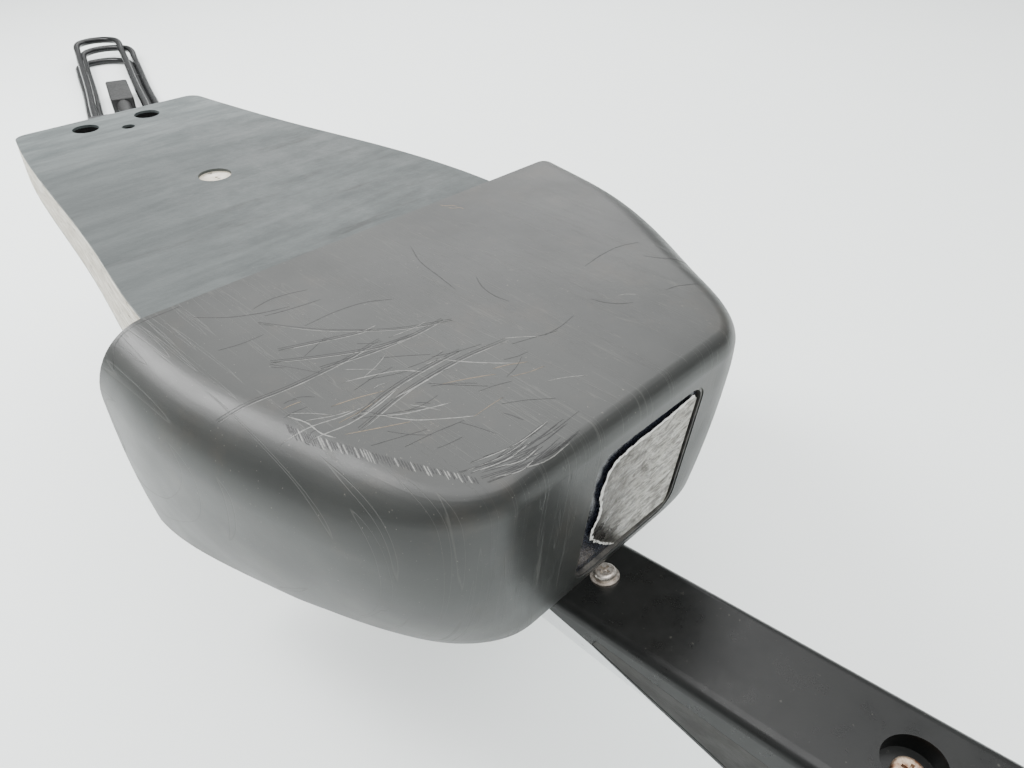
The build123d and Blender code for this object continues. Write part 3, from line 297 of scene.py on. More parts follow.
cord_curve = bpy.data.curves.new("power_lead", "CURVE")
cord_curve.dimensions = "3D"
cord_line = cord_curve.splines.new("NURBS")
cord_points = [Vector(p) for p in CORD_ROUTE] + [HANK @ Vector(p) for p in hank_points]
cord_line.points.add(len(cord_points) - 1)
for point, place in zip(cord_line.points, cord_points):
    point.co = (*((place + SHIFT) * MM), 1)
cord_line.order_u = 3
cord_line.use_endpoint_u = True
cord_curve.resolution_u = 10
cord_curve.bevel_depth = CORD_R * MM
cord_curve.bevel_resolution = 6
cord_curve.use_fill_caps = True
cord = bpy.data.objects.new("power_lead", cord_curve)
bpy.context.scene.collection.objects.link(cord)

cable = surface("cable_sheath", (0.004, 0.0045, 0.005), (0.010, 0.0105, 0.011), (0.14, 0.28), patch=60,
                grain=900, depth=0.0001, speck=(0.03, 0.03, 0.028), Specular_IOR_Level=0.36)
put_on(cord, cable, "board")

# the strap hugs the hank's strands, and its free end is pressed flat on top
STRAP_WIDTH, STRAP_T, STRAP_AT, STRAP_Y = 14.0, 1.2, -98.0, 1.5
STRAP_CORNER = 7.0
TAIL_LENGTH, TAIL_CORNER, TAIL_LOW, TAIL_HIGH = 38, 5, 0.05, 1.2
BUNDLE_WIDTH, BUNDLE_HEIGHT = 83.5, 18.5
strap_place = HANK @ Matrix.Translation((STRAP_AT, STRAP_Y, BUNDLE_HEIGHT / 2 + STRAP_T + 0.2))
inner = rounded_rectangle(BUNDLE_WIDTH, BUNDLE_HEIGHT, STRAP_CORNER)
outer = rounded_rectangle(BUNDLE_WIDTH + 2 * STRAP_T, BUNDLE_HEIGHT + 2 * STRAP_T,
                          STRAP_CORNER + STRAP_T)
strap_points, strap_faces = [], []
for i, (near_side, far_side) in enumerate(zip(inner, outer)):
    sway = 0.5 * math.sin(i * 0.7)
    for (y, z), s in ((near_side, 0), (near_side, STRAP_WIDTH), (far_side, STRAP_WIDTH), (far_side, 0)):
        strap_points.append(strap_place @ Vector((s + sway, y, z)))
    here, after = 4 * i, 4 * ((i + 1) % len(inner))
    strap_faces += [(here + k, here + (k + 1) % 4, after + (k + 1) % 4, after + k) for k in range(4)]
hank_strap = mesh_object("hank_strap", strap_points, strap_faces, smooth=False)
tail_place = strap_place @ Matrix.Translation((STRAP_WIDTH / 2, -6, BUNDLE_HEIGHT / 2 + STRAP_T))
tail_outline = rounded_rectangle(STRAP_WIDTH - 1.5, TAIL_LENGTH, TAIL_CORNER)
strap_tail = prism("strap_tail", tail_outline, tail_place, TAIL_LOW, TAIL_HIGH)
strap = surface("tie_fabric", (0.006, 0.006, 0.0065), (0.014, 0.014, 0.0145), (0.75, 0.9), patch=120,
                grain=1600, depth=0.0004, Sheen_Weight=0.2)
put_on(hank_strap, strap, "board")
put_on(strap_tail, strap, "board")
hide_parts("cord_tie")
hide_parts("power_cord", "cord_hank")

# ------------------------------------------------------------------ head cover
HEAD_X, HEAD_FRONT, FLAT_Z = 223.5, 391.0, 21.5
SIDE_ROUND, SIDE_DEPTH, FRONT_ROUND, FRONT_DEPTH = 24.0, 26.0, 6.0, 9.0
TUCK_DEPTH, TUCK_POWER, CORNER_TUCK = 92.0, 2.2, 16.0
FRONT_LEAN = math.radians(6.5)
LEAN = math.tan(FRONT_LEAN)
CORNER_LEFT_Y, CORNER_RIGHT_Y = -56, 52
# x, y, which way the wall faces, how far it is tucked in at the rim, and how much it follows the
# front's rounding.  part.py has the same points.  They came from a fit to the photograph by a
# scratch program, rounded to whole mm, and were not worked out from driving dimensions.
LEFT_WALL = [(HEAD_X, -116, 0, -1, 4, 0), (275, -116, 0, -1, 12, 0), (329, -105, 0.15, -1, 18, 0),
             (361, -95, 0.4, -0.9, 21, 0.2), (382, -81, 0.75, -0.55, 19, 0.6)]
RIGHT_WALL = [(HEAD_X, 151, 0, 1, 5, 0), (269, 142, 0.2, 0.95, 10, 0), (314, 124, 0.4, 0.9, 12, 0),
              (354, 99, 0.6, 0.75, 14, 0.2), (383, 75, 0.75, 0.55, 6, 0.6)]
RIM_SLOPE = 8.0 / 167.5
RIM_BACK_Z = -74.5
RIM_BEVEL_IN, RIM_BEVEL_UP = 0.5, 1.0
WALL = 3.0
WALL_POINTS, FRONT_POINTS = 90, 30


def clamped_spline(points, first, last, count):
    """Smooth curve through the points with unit end directions, sampled evenly along its chords."""
    p = np.array(points, float)
    t = np.concatenate([[0], np.cumsum(np.linalg.norm(np.diff(p, axis=0), axis=1))])
    h = np.diff(t)
    n = len(p)
    a = np.zeros((n, n))
    b = np.zeros((n, 2))
    a[0, 0] = a[-1, -1] = 1
    b[0] = np.array(first) / np.linalg.norm(first)
    b[-1] = np.array(last) / np.linalg.norm(last)
    for i in range(1, n - 1):
        a[i, i - 1:i + 2] = h[i], 2 * (h[i - 1] + h[i]), h[i - 1]
        b[i] = 3 * (h[i] * (p[i] - p[i - 1]) / h[i - 1] + h[i - 1] * (p[i + 1] - p[i]) / h[i])
    slope = np.linalg.solve(a, b)
    out = []
    for s in np.linspace(0, t[-1], count):
        i = min(int(np.searchsorted(t, s, side="right")) - 1, n - 2)
        u = (s - t[i]) / h[i]
        out.append((2 * u**3 - 3 * u**2 + 1) * p[i] + (u**3 - 2 * u**2 + u) * h[i] * slope[i]
                   + (3 * u**2 - 2 * u**3) * p[i + 1] + (u**3 - u**2) * h[i] * slope[i + 1])
    return out


def side_inset(depth):
    if depth < SIDE_DEPTH:
        return SIDE_ROUND * (1 - math.sqrt(1 - (1 - depth / SIDE_DEPTH) ** 2))
    return 0.0


def front_inset(depth):
    if depth < FRONT_DEPTH:
        return FRONT_ROUND * (1 - math.sqrt(1 - (1 - depth / FRONT_DEPTH) ** 2))
    return LEAN * (depth - FRONT_DEPTH)


def head_outline(depth, wall=0.0):
    """The head's outline at that depth: back left corner, round the front, back right corner."""
    side, front = side_inset(depth) + wall, front_inset(depth) + wall
    tuck = (max(depth - SIDE_DEPTH, 0) / (TUCK_DEPTH - SIDE_DEPTH)) ** TUCK_POWER

    def inset(points):
        moved = []
        for x, y, nx, ny, rim, share in points:
            amount = side * (1 - share) + front * share + tuck * rim
            moved.append((x - nx * amount, y - ny * amount))
        return [(HEAD_X, moved[0][1])] + moved[1:]

    front_x = HEAD_FRONT - front
    corners = CORNER_LEFT_Y + CORNER_TUCK * tuck, CORNER_RIGHT_Y - CORNER_TUCK * tuck
    left = clamped_spline(inset(LEFT_WALL) + [(front_x, corners[0])], (1, -0.03), (0, 1), WALL_POINTS)
    right = clamped_spline(inset(RIGHT_WALL) + [(front_x, corners[1])], (1, -0.2), (0, -1), WALL_POINTS)
    across = [np.array((front_x, y)) for y in np.linspace(*corners, FRONT_POINTS)[1:-1]]
    return left + across + right[::-1]


# rows of the cover: close together round both edges, then every 6 mm down the wall
round_turns = [math.radians(a) for a in (0, 7, 14, 21, 28, 36, 44, 52, 60, 67, 74, 80, 85, 90)]
wall_depths = {float(d) for d in range(32, 87, 6)} | {TUCK_DEPTH - RIM_BEVEL_UP}
depths = sorted({round(FRONT_DEPTH * (1 - math.cos(a)), 3) for a in round_turns}
                | {round(SIDE_DEPTH * (1 - math.cos(a)), 3) for a in round_turns} | wall_depths)
FLAT_MIDDLE = np.array((300.0, 10.0))
FLAT_RINGS = (0.25, 0.5, 0.75, 0.93)


def rim_z(x):
    return RIM_BACK_Z + (x - HEAD_X) * RIM_SLOPE


cover_points, cover_faces = [], []
outline = head_outline(0)
count = len(outline)
for share in FLAT_RINGS:
    cover_points += [(*(FLAT_MIDDLE + (p - FLAT_MIDDLE) * share), FLAT_Z) for p in outline]
for depth in depths:
    for p in head_outline(depth):
        cover_points.append((*p, max(FLAT_Z - depth, rim_z(p[0]) + RIM_BEVEL_UP)))
for p in head_outline(TUCK_DEPTH, RIM_BEVEL_IN):
    cover_points.append((*p, rim_z(p[0])))
rows = len(cover_points) // count
for row in range(rows - 1):
    for i in range(count):
        a, b = row * count + i, row * count + (i + 1) % count
        cover_faces.append((a, a + count, b + count, b))
cover_faces.append(tuple(range(count))[::-1])
head_cover = mesh_object("head_cover", cover_points, cover_faces)
bm = bmesh.new()
bm.from_mesh(head_cover.data)
bmesh.ops.remove_doubles(bm, verts=bm.verts, dist=1e-7)
bmesh.ops.recalc_face_normals(bm, faces=bm.faces)
bm.to_mesh(head_cover.data)
bm.free()
cover_skin = bvh_of(head_cover)
add_modifier(head_cover, "SOLIDIFY", thickness=WALL * MM, offset=-1, use_even_offset=True)

WINDOW_Y, WINDOW_Z, WINDOW_W, WINDOW_H, WINDOW_R = 11.5, -27.5, 63.0, 70.0, 9.0
window_x = HEAD_FRONT - LEAN * (FLAT_Z - FRONT_DEPTH - WINDOW_Z)
WINDOW = Matrix(((0, math.sin(FRONT_LEAN), math.cos(FRONT_LEAN), window_x), (1, 0, 0, WINDOW_Y),
                 (0, math.cos(FRONT_LEAN), -math.sin(FRONT_LEAN), WINDOW_Z), (0, 0, 0, 1)))
# slots in the back wall for the two hinge lugs
SLOT_Y, SLOT_Z, SLOT_W, SLOT_H, SLOT_R = 27.5, -38.5, 12.6, 24, 2

cutters = [prism("cutter", rounded_rectangle(WINDOW_W, WINDOW_H, WINDOW_R), WINDOW, -9, 6)]
for y in (-SLOT_Y, SLOT_Y):
    slot_place = Matrix(((0, 0, 1, HEAD_X), (1, 0, 0, y), (0, 1, 0, SLOT_Z), (0, 0, 0, 1)))
    cutters.append(prism("cutter", rounded_rectangle(SLOT_W, SLOT_H, SLOT_R), slot_place, -3, 6))
for cutter in cutters:
    add_modifier(head_cover, "BOOLEAN", operation="DIFFERENCE", object=cutter, solver="EXACT")
apply_modifiers(head_cover)
for cutter in cutters:
    bpy.data.objects.remove(cutter)
head_cover.data.set_sharp_from_angle(angle=math.radians(35))

cowl = Shader("cowl_plastic", Specular_IOR_Level=0.54)
cloud = cowl.noise(9, 6, 0.62, bend=0.6)
tone = cowl.mix(cowl.level(cloud, 0.3, 0.72), (0.011, 0.0125, 0.0118), (0.022, 0.0235, 0.0215))
brown = cowl.level(cowl.noise(26, 5, 0.7), 0.52, 0.72)
tone = cowl.mix(cowl.math("MULTIPLY", brown, 0.35), tone, (0.045, 0.038, 0.029))
specks = cowl.level(cowl.noise(900, 2, 0.6), 0.70, 0.76)
tone = cowl.mix(cowl.math("MULTIPLY", specks, 0.5), tone, (0.16, 0.15, 0.13))
hair = cowl.math("ADD", cowl.hairlines((0, 0, 35), 3.0), cowl.hairlines((0, 0, -62), 8.0), clamp=True)
hair = cowl.math("ADD", hair, cowl.hairlines((0, 0, 8), 5.0, 0.60, 0.008), clamp=True)
tone = cowl.mix(cowl.math("MULTIPLY", hair, 0.25), tone, (0.11, 0.11, 0.10))
residue_place = cowl.near((0.345, -0.066, 0.0215), (0.026, 0.022, 0.006), 0.6)
residue = cowl.math("MULTIPLY", residue_place, cowl.level(cowl.noise(700, 5, 0.8, bend=2.0), 0.60, 0.66))
tone = cowl.mix(cowl.math("MULTIPLY", residue, 0.3), tone, (0.22, 0.185, 0.12))
gloss = cowl.level(cowl.noise(14, 5, 0.6), 0.3, 0.7, 0.34, 0.46)
gloss = cowl.math("ADD", gloss, cowl.math("MULTIPLY", hair, 0.10))
cowl.use(Base_Color=tone, Roughness=gloss)
cowl.raise_by(cowl.noise(1700, 3, 0.7), 0.00002)
cowl.raise_by(hair, -0.00003)
cowl.raise_by(cowl.noise(22, 2, 0.5), 0.0004)
put_on(head_cover, cowl, "head")
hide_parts("top_cowl")
finish(cowl, "lower_cowl")

# ------------------------------------------------------------------ scratches on the head's flat
# each family of long scratches: kind, how many, the middle of the family, how far its members
# stray from it, their heading in degrees from +X and its spread, the shortest, the longest and
# the width; a grey one is a real scratch drawn as a dark line, painted shade down its groove, with a pale
# one on one side, a painted highlight on its lit edge, and a thin dark one on the other, painted shade on
# its far wall
FAMILIES = [("grey", 7, (312, -56), (18, 18), 72, 16, 35, 75, 0.9),
            ("dark", 6, (258, -40), (22, 30), 60, 35, 22, 60, 0.5),
            ("pale", 9, (322, -48), (24, 24), 62, 24, 15, 45, 0.45),
            ("dark", 5, (330, 48), (24, 24), 40, 45, 12, 36, 0.5),
            ("tan", 2, (236, 60), (5, 5), 35, 15, 8, 14, 0.45)]
MARK_LIFT = 0.035
MARK_TURNS = 14              # steps between two given points of a scratch
COMB_STROKES, ARC_STROKES, FINE_STROKES = 64, 26, 70


def through(points, count):
    """Evenly numbered places on a smooth line through the points."""
    ends = [2 * points[0] - points[1]] + points + [2 * points[-1] - points[-2]]
    made = []
    for i in range(count + 1):
        place = i / count * (len(points) - 1)
        k = min(int(place), len(points) - 2)
        u = place - k
        a, b, c, d = ends[k:k + 4]
        second, third = 2 * a - 5 * b + 4 * c - d, 3 * b - a - 3 * c + d
        made.append(0.5 * (2 * b + (c - a) * u + second * u**2 + third * u**3))
    return made


def ribbon(out, points, width, rng):
    """Adds a thin ridge to the (points, faces) pair: it lies on the cover and tapers at both ends."""
    line = through([Vector((*p, FLAT_Z)) for p in points], MARK_TURNS * (len(points) - 1))
    base = len(out[0])
    for i, place in enumerate(line):
        ahead = line[min(i + 1, len(line) - 1)] - line[max(i - 1, 0)]
        hit, normal, _, _ = cover_skin.find_nearest((place + SHIFT) * MM)
        hit = hit / MM - SHIFT
        side = normal.cross(ahead).normalized()
        share = i / (len(line) - 1)
        half = width / 2 * min(1, 6 * share, 6 * (1 - share)) * rng.uniform(0.55, 1.15) + 0.03
        for across, lift in ((-half, 0.0), (0, MARK_LIFT * 2), (half, 0.0)):
            out[0].append(hit + side * (across + rng.uniform(-0.05, 0.05)) + normal * (MARK_LIFT / 2 + lift))
        if i:
            k = base + 3 * i
            out[1].extend([(k - 3, k - 2, k + 1, k), (k - 2, k - 1, k + 2, k + 1)])


rng = random.Random(12)
scratches = {kind: ([], []) for kind in ("pale", "dark", "tan")}
for kind, how_many, middle_at, stray, heading, turn_spread, shortest, longest, width in FAMILIES:
    for i in range(how_many):
        x, y = (rng.gauss(m, d) for m, d in zip(middle_at, stray))
        turn = math.radians(rng.gauss(heading, turn_spread))
        reach, bow = rng.uniform(shortest, longest), rng.uniform(-0.12, 0.12)
        points = []
        for share in (-0.5, -0.15, 0.2, 0.5):
            side = bow * reach * (1 - 4 * share * share) + rng.uniform(-0.8, 0.8)
            points.append((max(x + share * reach * math.cos(turn) - side * math.sin(turn), HEAD_X + 2.5),
                           y + share * reach * math.sin(turn) + side * math.cos(turn)))
        # a grey scratch: painted shade down its middle, a painted highlight along one side and painted shade
        # along the other
        if kind == "grey":
            ribbon(scratches["dark"], points, width * 0.5, rng)
            ribbon(scratches["pale"], [(px + 0.9, py + 0.5) for px, py in points], width * 0.32, rng)
            ribbon(scratches["dark"], [(px - 1.1, py + 0.4) for px, py in points], width * 0.3, rng)
        else:
            ribbon(scratches[kind], points, width, rng)
for i in range(COMB_STROKES):            # short strokes along the edge of the side rounding
    share = i / (COMB_STROKES - 1)
    x, y = 316 + 62 * share, -89 + 25 * share ** 1.25
    reach = rng.uniform(5, 9) * (1 - 0.4 * share)
    kind = "dark" if rng.random() < 0.7 else "pale"
    ribbon(scratches[kind], [(x, y), (x + reach * 0.8, y - reach * 0.3)], rng.uniform(0.25, 0.5), rng)
for i in range(ARC_STROKES):             # nested arcs at the front left of the flat
    share = i / (ARC_STROKES - 1)
    start = (372 + 12 * share + rng.uniform(-1, 1), -58 + rng.uniform(-8, 6))
    reach = rng.uniform(18, 40) * (1 - 0.3 * share)
    kind = "pale" if i % 5 == 0 else "dark"
    points = [start, (start[0] + 3.5, start[1] + reach * 0.5), (start[0] + 3, start[1] + reach)]
    ribbon(scratches[kind], points, rng.uniform(0.2, 0.45), rng)
for i in range(FINE_STROKES):            # fine strokes scattered over the worn left half
    x, y = rng.gauss(330, 26), rng.gauss(-48, 30)
    if x < 232 or x > 380 or y < -92 or y > 90:
        continue
    turn, reach = math.radians(rng.gauss(68, 26)), rng.uniform(4, 22)
    along_x, along_y = reach * math.cos(turn), reach * math.sin(turn)
    points = [(x, y), (x + along_x * 0.5 + rng.uniform(-1, 1), y + along_y * 0.5),
              (x + along_x, y + along_y)]
    kind = rng.choice(("dark", "dark", "dark", "pale", "tan"))
    ribbon(scratches[kind], points, rng.uniform(0.15, 0.4), rng)
mark_looks = {"pale": (0.17, 0.17, 0.16), "dark": (0.003, 0.003, 0.003), "tan": (0.17, 0.125, 0.075)}
for kind, colour in mark_looks.items():
    worn = tuple(c * 0.7 for c in colour)
    mark = surface("mark_" + kind, colour, worn, (0.4, 0.6), patch=200, depth=0.00002)
    put_on(mesh_object("scratches_" + kind, *scratches[kind]), mark, "head")

# ------------------------------------------------------------------ board
skin = Shader("rubber_skin", Specular_IOR_Level=0.30)
streaks = skin.noise(1.0, 7, 0.7, skin.placed(scale=(95, 16, 60), turn=(0, 0, 14)), 0.4)
tone = skin.mix(skin.level(streaks, 0.3, 0.75), (0.070, 0.083, 0.083), (0.150, 0.168, 0.166))
long_streaks = skin.placed(scale=(60, 9, 60), turn=(0, 0, 10), shift=(4, 2, 0))
brown = skin.level(skin.noise(1.0, 6, 0.72, long_streaks), 0.56, 0.74)
tone = skin.mix(skin.math("MULTIPLY", brown, 0.85), tone, (0.016, 0.014, 0.011))
dust = skin.level(skin.noise(520, 3, 0.7), 0.68, 0.76)
tone = skin.mix(skin.math("MULTIPLY", dust, 0.6), tone, (0.30, 0.30, 0.28))
darker = skin.level(skin.axis(0), -0.03, 0.11)
tone = skin.mix(skin.math("MULTIPLY", darker, 0.62), tone, (0.030, 0.034, 0.034))
skin.use(Base_Color=tone, Roughness=skin.level(skin.noise(40, 5, 0.7), 0.3, 0.7, 0.42, 0.62))
skin.raise_by(skin.noise(1400, 4, 0.7), 0.00005)
skin.raise_by(skin.noise(60, 5, 0.7), 0.0005)
finish(skin, "board_top_skin", "board_under_skin")

wood = Shader("sawn_wood", Specular_IOR_Level=0.25)
grain = wood.noise(1.0, 6, 0.75, wood.placed(scale=(55, 55, 900)), 0.3)
tone = wood.mix(wood.level(grain, 0.38, 0.66), (0.50, 0.46, 0.38), (0.80, 0.775, 0.70))
pore_cells = wood.placed(scale=(170, 170, 1500), shift=(3, 1, 2))
pores = wood.level(wood.noise(1.0, 3, 0.6, pore_cells), 0.62, 0.70)
tone = wood.mix(wood.math("MULTIPLY", pores, 0.8), tone, (0.10, 0.09, 0.075))
# x, y and radius of the two bolt holes and the small hole beside them; their walls are painted near-black as
# painted shade deep inside the holes
for x, y, radius in ((0, -0.019, 0.0078), (0, 0.019, 0.0078), (0.014, 0.001, 0.004)):
    inside = wood.near((x, y, 0.009), (radius * 1.1, radius * 1.1, 0.2), 0.03)
    tone = wood.mix(inside, tone, (0.004, 0.004, 0.004))
wood.use(Base_Color=tone, Roughness=0.8)
wood.raise_by(grain, 0.0006)
wood.raise_by(pores, -0.0005)
finish(wood, "board_core")

# ------------------------------------------------------------------ other finishes
arm = surface("arm_black", (0.003, 0.0035, 0.0035), (0.006, 0.0065, 0.006), (0.26, 0.38), patch=14,
              grain=2200, depth=0.00001, speck=(0.035, 0.035, 0.03), Specular_IOR_Level=0.33)
finish(arm, "arm_cover", "arm_collar")
panel = surface("panel_black", (0.014, 0.013, 0.012), (0.026, 0.024, 0.021), (0.5, 0.66), patch=24,
                grain=1300, depth=0.00006, stretch=(0.4, 1, 1), Specular_IOR_Level=0.4)
finish(panel, "arm_panel_left", "arm_panel_right")
silver = surface("shell_silver", (0.86, 0.88, 0.89), (0.76, 0.77, 0.78), (0.30, 0.44), patch=20,
                 grain=2600, depth=0.00001, speck=(0.3, 0.29, 0.28), stretch=(0.3, 1, 1),
                 Metallic=0.45)
finish(silver, "arm_lower_shell")
tube = surface("tube_metal", (0.55, 0.57, 0.59), (0.42, 0.43, 0.44), (0.22, 0.38), patch=26, grain=3000,
               depth=0.00001, stretch=(0.08, 1, 1), Metallic=0.95)
finish(tube, "steering_tube")
steel = surface("plain_steel", (0.50, 0.50, 0.49), (0.30, 0.28, 0.25), (0.3, 0.5), patch=60, grain=2400,
                depth=0.00002, speck=(0.22, 0.10, 0.04), Metallic=1.0)
finish(steel, "hinge_bracket", "bracket_bolts", "prop_nut")
nickel = surface("nickel_screw", (0.62, 0.58, 0.53), (0.34, 0.30, 0.26), (0.24, 0.45), patch=320,
                 grain=3500, depth=0.00003, speck=(0.12, 0.07, 0.04), Metallic=0.95)
finish(nickel, "root_screw", "root_washer", "cable_box_screws", "cowl_screws", "pod_bolts")
aged = surface("aged_screw", (0.52, 0.42, 0.32), (0.20, 0.10, 0.055), (0.35, 0.6), patch=300,
               grain=2500, depth=0.00006, speck=(0.08, 0.03, 0.015), Metallic=0.8)
finish(aged, "tip_screws")
cast = surface("cast_metal", (0.50, 0.51, 0.52), (0.38, 0.385, 0.39), (0.45, 0.62), patch=40,
               grain=1100, depth=0.00012, Metallic=0.9)
finish(cast, "head_chassis", "heat_sink")
bush = surface("bush_plastic", (0.72, 0.71, 0.67), (0.60, 0.57, 0.50), (0.38, 0.5), patch=70)
finish(bush, "tube_bushes", "collar_bush", "board_posts", "fuse_block", "brush_holders")
can = surface("motor_can", (0.52, 0.52, 0.51), (0.40, 0.40, 0.39), (0.25, 0.4), patch=35,
              stretch=(1, 1, 0.2), Metallic=1.0)
finish(can, "steering_motor")
nylon = surface("gear_nylon", (0.76, 0.74, 0.66), (0.66, 0.62, 0.52), (0.4, 0.5), patch=60)
finish(nylon, "steering_gear")
gear_steel = surface("gear_steel", (0.42, 0.42, 0.43), (0.25, 0.23, 0.20), (0.28, 0.42), patch=110,
                     Metallic=1.0)
finish(gear_steel, "steering_pinion")
laminate = surface("circuit_laminate", (0.02, 0.16, 0.06), (0.012, 0.10, 0.04), (0.3, 0.45), patch=260,
                   speck=(0.55, 0.5, 0.3))
finish(laminate, "control_board")
box_black = surface("box_black", (0.022, 0.022, 0.023), (0.036, 0.035, 0.034), (0.42, 0.6), patch=30,
                    grain=900, depth=0.00012)
finish(box_black, "cable_box", "cable_box_lid", "tilt_knob")
rocker = surface("rocker_black", (0.012, 0.012, 0.012), (0.022, 0.022, 0.022), (0.14, 0.26), patch=80)
finish(rocker, "power_rocker")
seal = surface("seal_rubber", (0.016, 0.016, 0.017), (0.03, 0.03, 0.03), (0.5, 0.7), patch=60,
               grain=1500, depth=0.00005)
finish(seal, "cable_gland", "shaft_seal")
paint = surface("pod_paint", (0.014, 0.015, 0.016), (0.024, 0.024, 0.024), (0.2, 0.36), patch=16,
                grain=1900, depth=0.00004, speck=(0.12, 0.12, 0.11), Coat_Weight=0.3,
                Coat_Roughness=0.2)
finish(paint, "pod_barrel")
pod_plastic = surface("pod_plastic", (0.018, 0.0185, 0.019), (0.032, 0.032, 0.031), (0.36, 0.52),
                      patch=22, grain=1200, depth=0.00008, speck=(0.10, 0.10, 0.09))
finish(pod_plastic, "pod_neck", "nose_cone", "tail_bell", "skeg")
ferrite = surface("magnet_ferrite", (0.06, 0.06, 0.062), (0.10, 0.10, 0.10), (0.45, 0.6), patch=60,
                  Metallic=0.6)
finish(ferrite, "magnets")
winding = surface("copper_winding", (0.45, 0.17, 0.07), (0.28, 0.09, 0.03), (0.25, 0.4), patch=30,
                  grain=700, depth=0.0004, stretch=(4, 0.4, 4), Metallic=0.85)
finish(winding, "armature")
brass = surface("turned_brass", (0.62, 0.43, 0.16), (0.45, 0.29, 0.10), (0.22, 0.36), patch=80,
                Metallic=1.0)
finish(brass, "commutator", "hinge_bushes")
prop = surface("prop_plastic", (0.016, 0.016, 0.017), (0.034, 0.033, 0.032), (0.34, 0.5), patch=24,
               grain=1500, depth=0.00005, speck=(0.14, 0.14, 0.13))
finish(prop, "propeller")
shaft = surface("shaft_steel", (0.66, 0.66, 0.66), (0.52, 0.52, 0.51), (0.14, 0.26), patch=60,
                Metallic=1.0)
finish(shaft, "hinge_pin", "prop_shaft", "drive_pin", "pod_bearings")
grey = surface("plug_grey", (0.016, 0.0165, 0.0165), (0.028, 0.0285, 0.028), (0.5, 0.65), patch=60,
               grain=1400, depth=0.00006)
finish(grey, "battery_plug")
backing = surface("label_black", (0.008, 0.009, 0.013), (0.016, 0.020, 0.032), (0.16, 0.34), patch=90)
finish(backing, "label_backing")
rim = surface("label_rim", (0.035, 0.035, 0.034), (0.10, 0.095, 0.085), (0.3, 0.5), patch=160,
              Metallic=0.5)
finish(rim, "label_bezel")
foil = Shader("label_foil", Metallic=0.9)
fleck = foil.noise(1.0, 6, 0.8, foil.placed(scale=(260, 140, 420), turn=(35, 0, 0)), 0.8)
tone = foil.mix(foil.level(fleck, 0.42, 0.60), (0.34, 0.325, 0.29), (0.06, 0.05, 0.04))
blotch = foil.level(foil.axis(1), -0.012, 0.026, 0.85, 0.0)
stain = foil.math("MULTIPLY", blotch, foil.level(foil.noise(95, 5, 0.7), 0.26, 0.52))
tone = foil.mix(stain, tone, (0.05, 0.042, 0.036))
foil.use(Base_Color=tone, Roughness=foil.level(foil.noise(150, 4, 0.7), 0.3, 0.7, 0.22, 0.5))
foil.raise_by(foil.noise(240, 4, 0.7), 0.0003)
# the torn side of the foil in the window's plane, from its top right round to its bottom
TEAR = [(26, 30), (8, 28.5), (-12, 27), (-21, 24), (-24, 12), (-22, 0), (-25, -10), (-19, -19),
        (-11, -27), (-6, -31.5)]
TEAR_STEPS = 90
tear_line = through([Vector((*p, 0)) for p in TEAR], TEAR_STEPS)
tear_line = [p + Vector((rng.uniform(-0.4, 0.4), rng.uniform(-0.4, 0.4), 0)) for p in tear_line]
corner = [(27.5, -31.5), (28.5, -28), (28.5, 27)]
FOIL_Z, FOIL_T = -1.0, 0.15
EDGE_LOW, EDGE_HIGH = 0.17, 0.5    # the torn paper's flat side and raised side, above FOIL_Z
foil_outline = [(p.x, p.y) for p in tear_line] + corner
foil_sheet = prism("torn_foil", foil_outline, WINDOW, FOIL_Z, FOIL_Z + FOIL_T)
put_on(foil_sheet, foil, "head")
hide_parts("label_foil")
edge_points, edge_faces = [], []
for i, place in enumerate(tear_line):
    ahead = tear_line[min(i + 1, TEAR_STEPS)] - tear_line[max(i - 1, 0)]
    side = Vector((-ahead.y, ahead.x, 0)).normalized() * rng.uniform(0.15, 0.85)
    edge_points.append(WINDOW @ Vector((*(place - side).xy, FOIL_Z + EDGE_LOW)))
    edge_points.append(WINDOW @ Vector((*(place + side).xy, FOIL_Z + EDGE_HIGH)))
    if i:
        edge_faces.append((2 * i - 2, 2 * i - 1, 2 * i + 1, 2 * i))
torn = surface("torn_paper", (0.80, 0.79, 0.76), (0.60, 0.58, 0.54), (0.6, 0.8), patch=300, grain=1500,
               depth=0.0002)
put_on(mesh_object("torn_edge", edge_points, edge_faces), torn, "head")

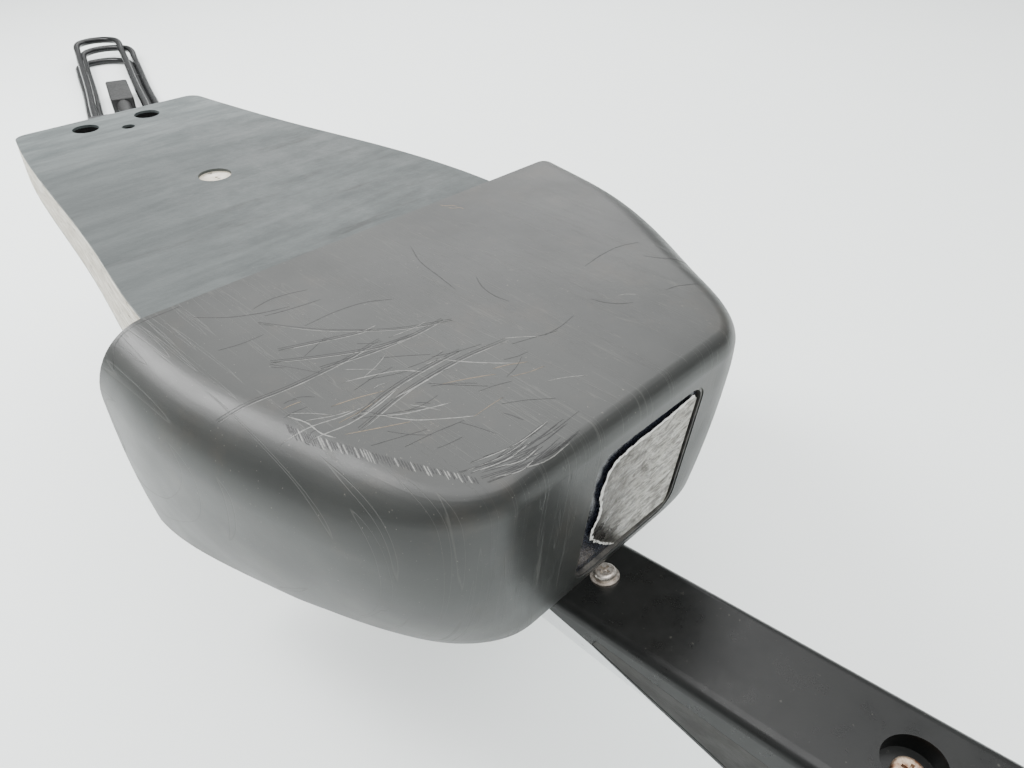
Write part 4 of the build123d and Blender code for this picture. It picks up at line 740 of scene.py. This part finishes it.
# ------------------------------------------------------------------ floor and light
FLOOR_HALF = 9000
floor_corners = [(x * FLOOR_HALF, y * FLOOR_HALF, FLOOR_Z) for x, y in ((-1, -1), (1, -1), (1, 1), (-1, 1))]
floor = mesh_object("floor", floor_corners, [(0, 1, 2, 3)], smooth=False)
paper = surface("floor_paper", (0.885, 0.925, 0.912), (0.900, 0.938, 0.925), (0.8, 0.9), patch=2,
                depth=0.0)
floor.data.materials.append(paper.material)


def lamp(name, place, target, size, power):
    data = bpy.data.lights.new(name, "AREA")
    data.shape = "RECTANGLE"
    data.size, data.size_y = size
    data.energy = power
    obj = bpy.data.objects.new(name, data)
    bpy.context.scene.collection.objects.link(obj)
    obj.location = place
    obj.rotation_mode = "QUATERNION"
    obj.rotation_quaternion = (Vector(place) - Vector(target)).to_track_quat("Z", "Y")
    return obj


lamp("softbox_left", (-0.62, -0.42, 0.86), (0.30, -0.08, 0), (0.45, 0.8), 20)
lamp("softbox_back", (-0.70, 0.86, 0.80), (0.30, 0, 0), (1.3, 1.3), 11)
fill = lamp("fill_top", (0.2, 0.1, 2.4), (0.2, 0, 0), (3.0, 3.0), 110)
fill.data.use_shadow = False

world = bpy.data.worlds.new("studio")
bpy.context.scene.world = world
world.use_nodes = True
tree = world.node_tree
coordinates = tree.nodes.new("ShaderNodeTexCoord")
separate = tree.nodes.new("ShaderNodeSeparateXYZ")
tree.links.new(coordinates.outputs["Generated"], separate.inputs[0])
sky = tree.nodes.new("ShaderNodeValToRGB")
tree.links.new(separate.outputs[2], sky.inputs[0])
stops = ((0.0, 0.60), (0.10, 0.36), (0.25, 0.45), (0.42, 1.0), (0.75, 1.0), (1.0, 1.0))
while len(sky.color_ramp.elements) < len(stops):
    sky.color_ramp.elements.new(0.5)
for element, (place, value) in zip(sky.color_ramp.elements, stops):
    element.position = place
    element.color = (value * 0.985, value, value, 1)
background = tree.nodes["Background"]
tree.links.new(sky.outputs[0], background.inputs[0])
background.inputs[1].default_value = 1.0
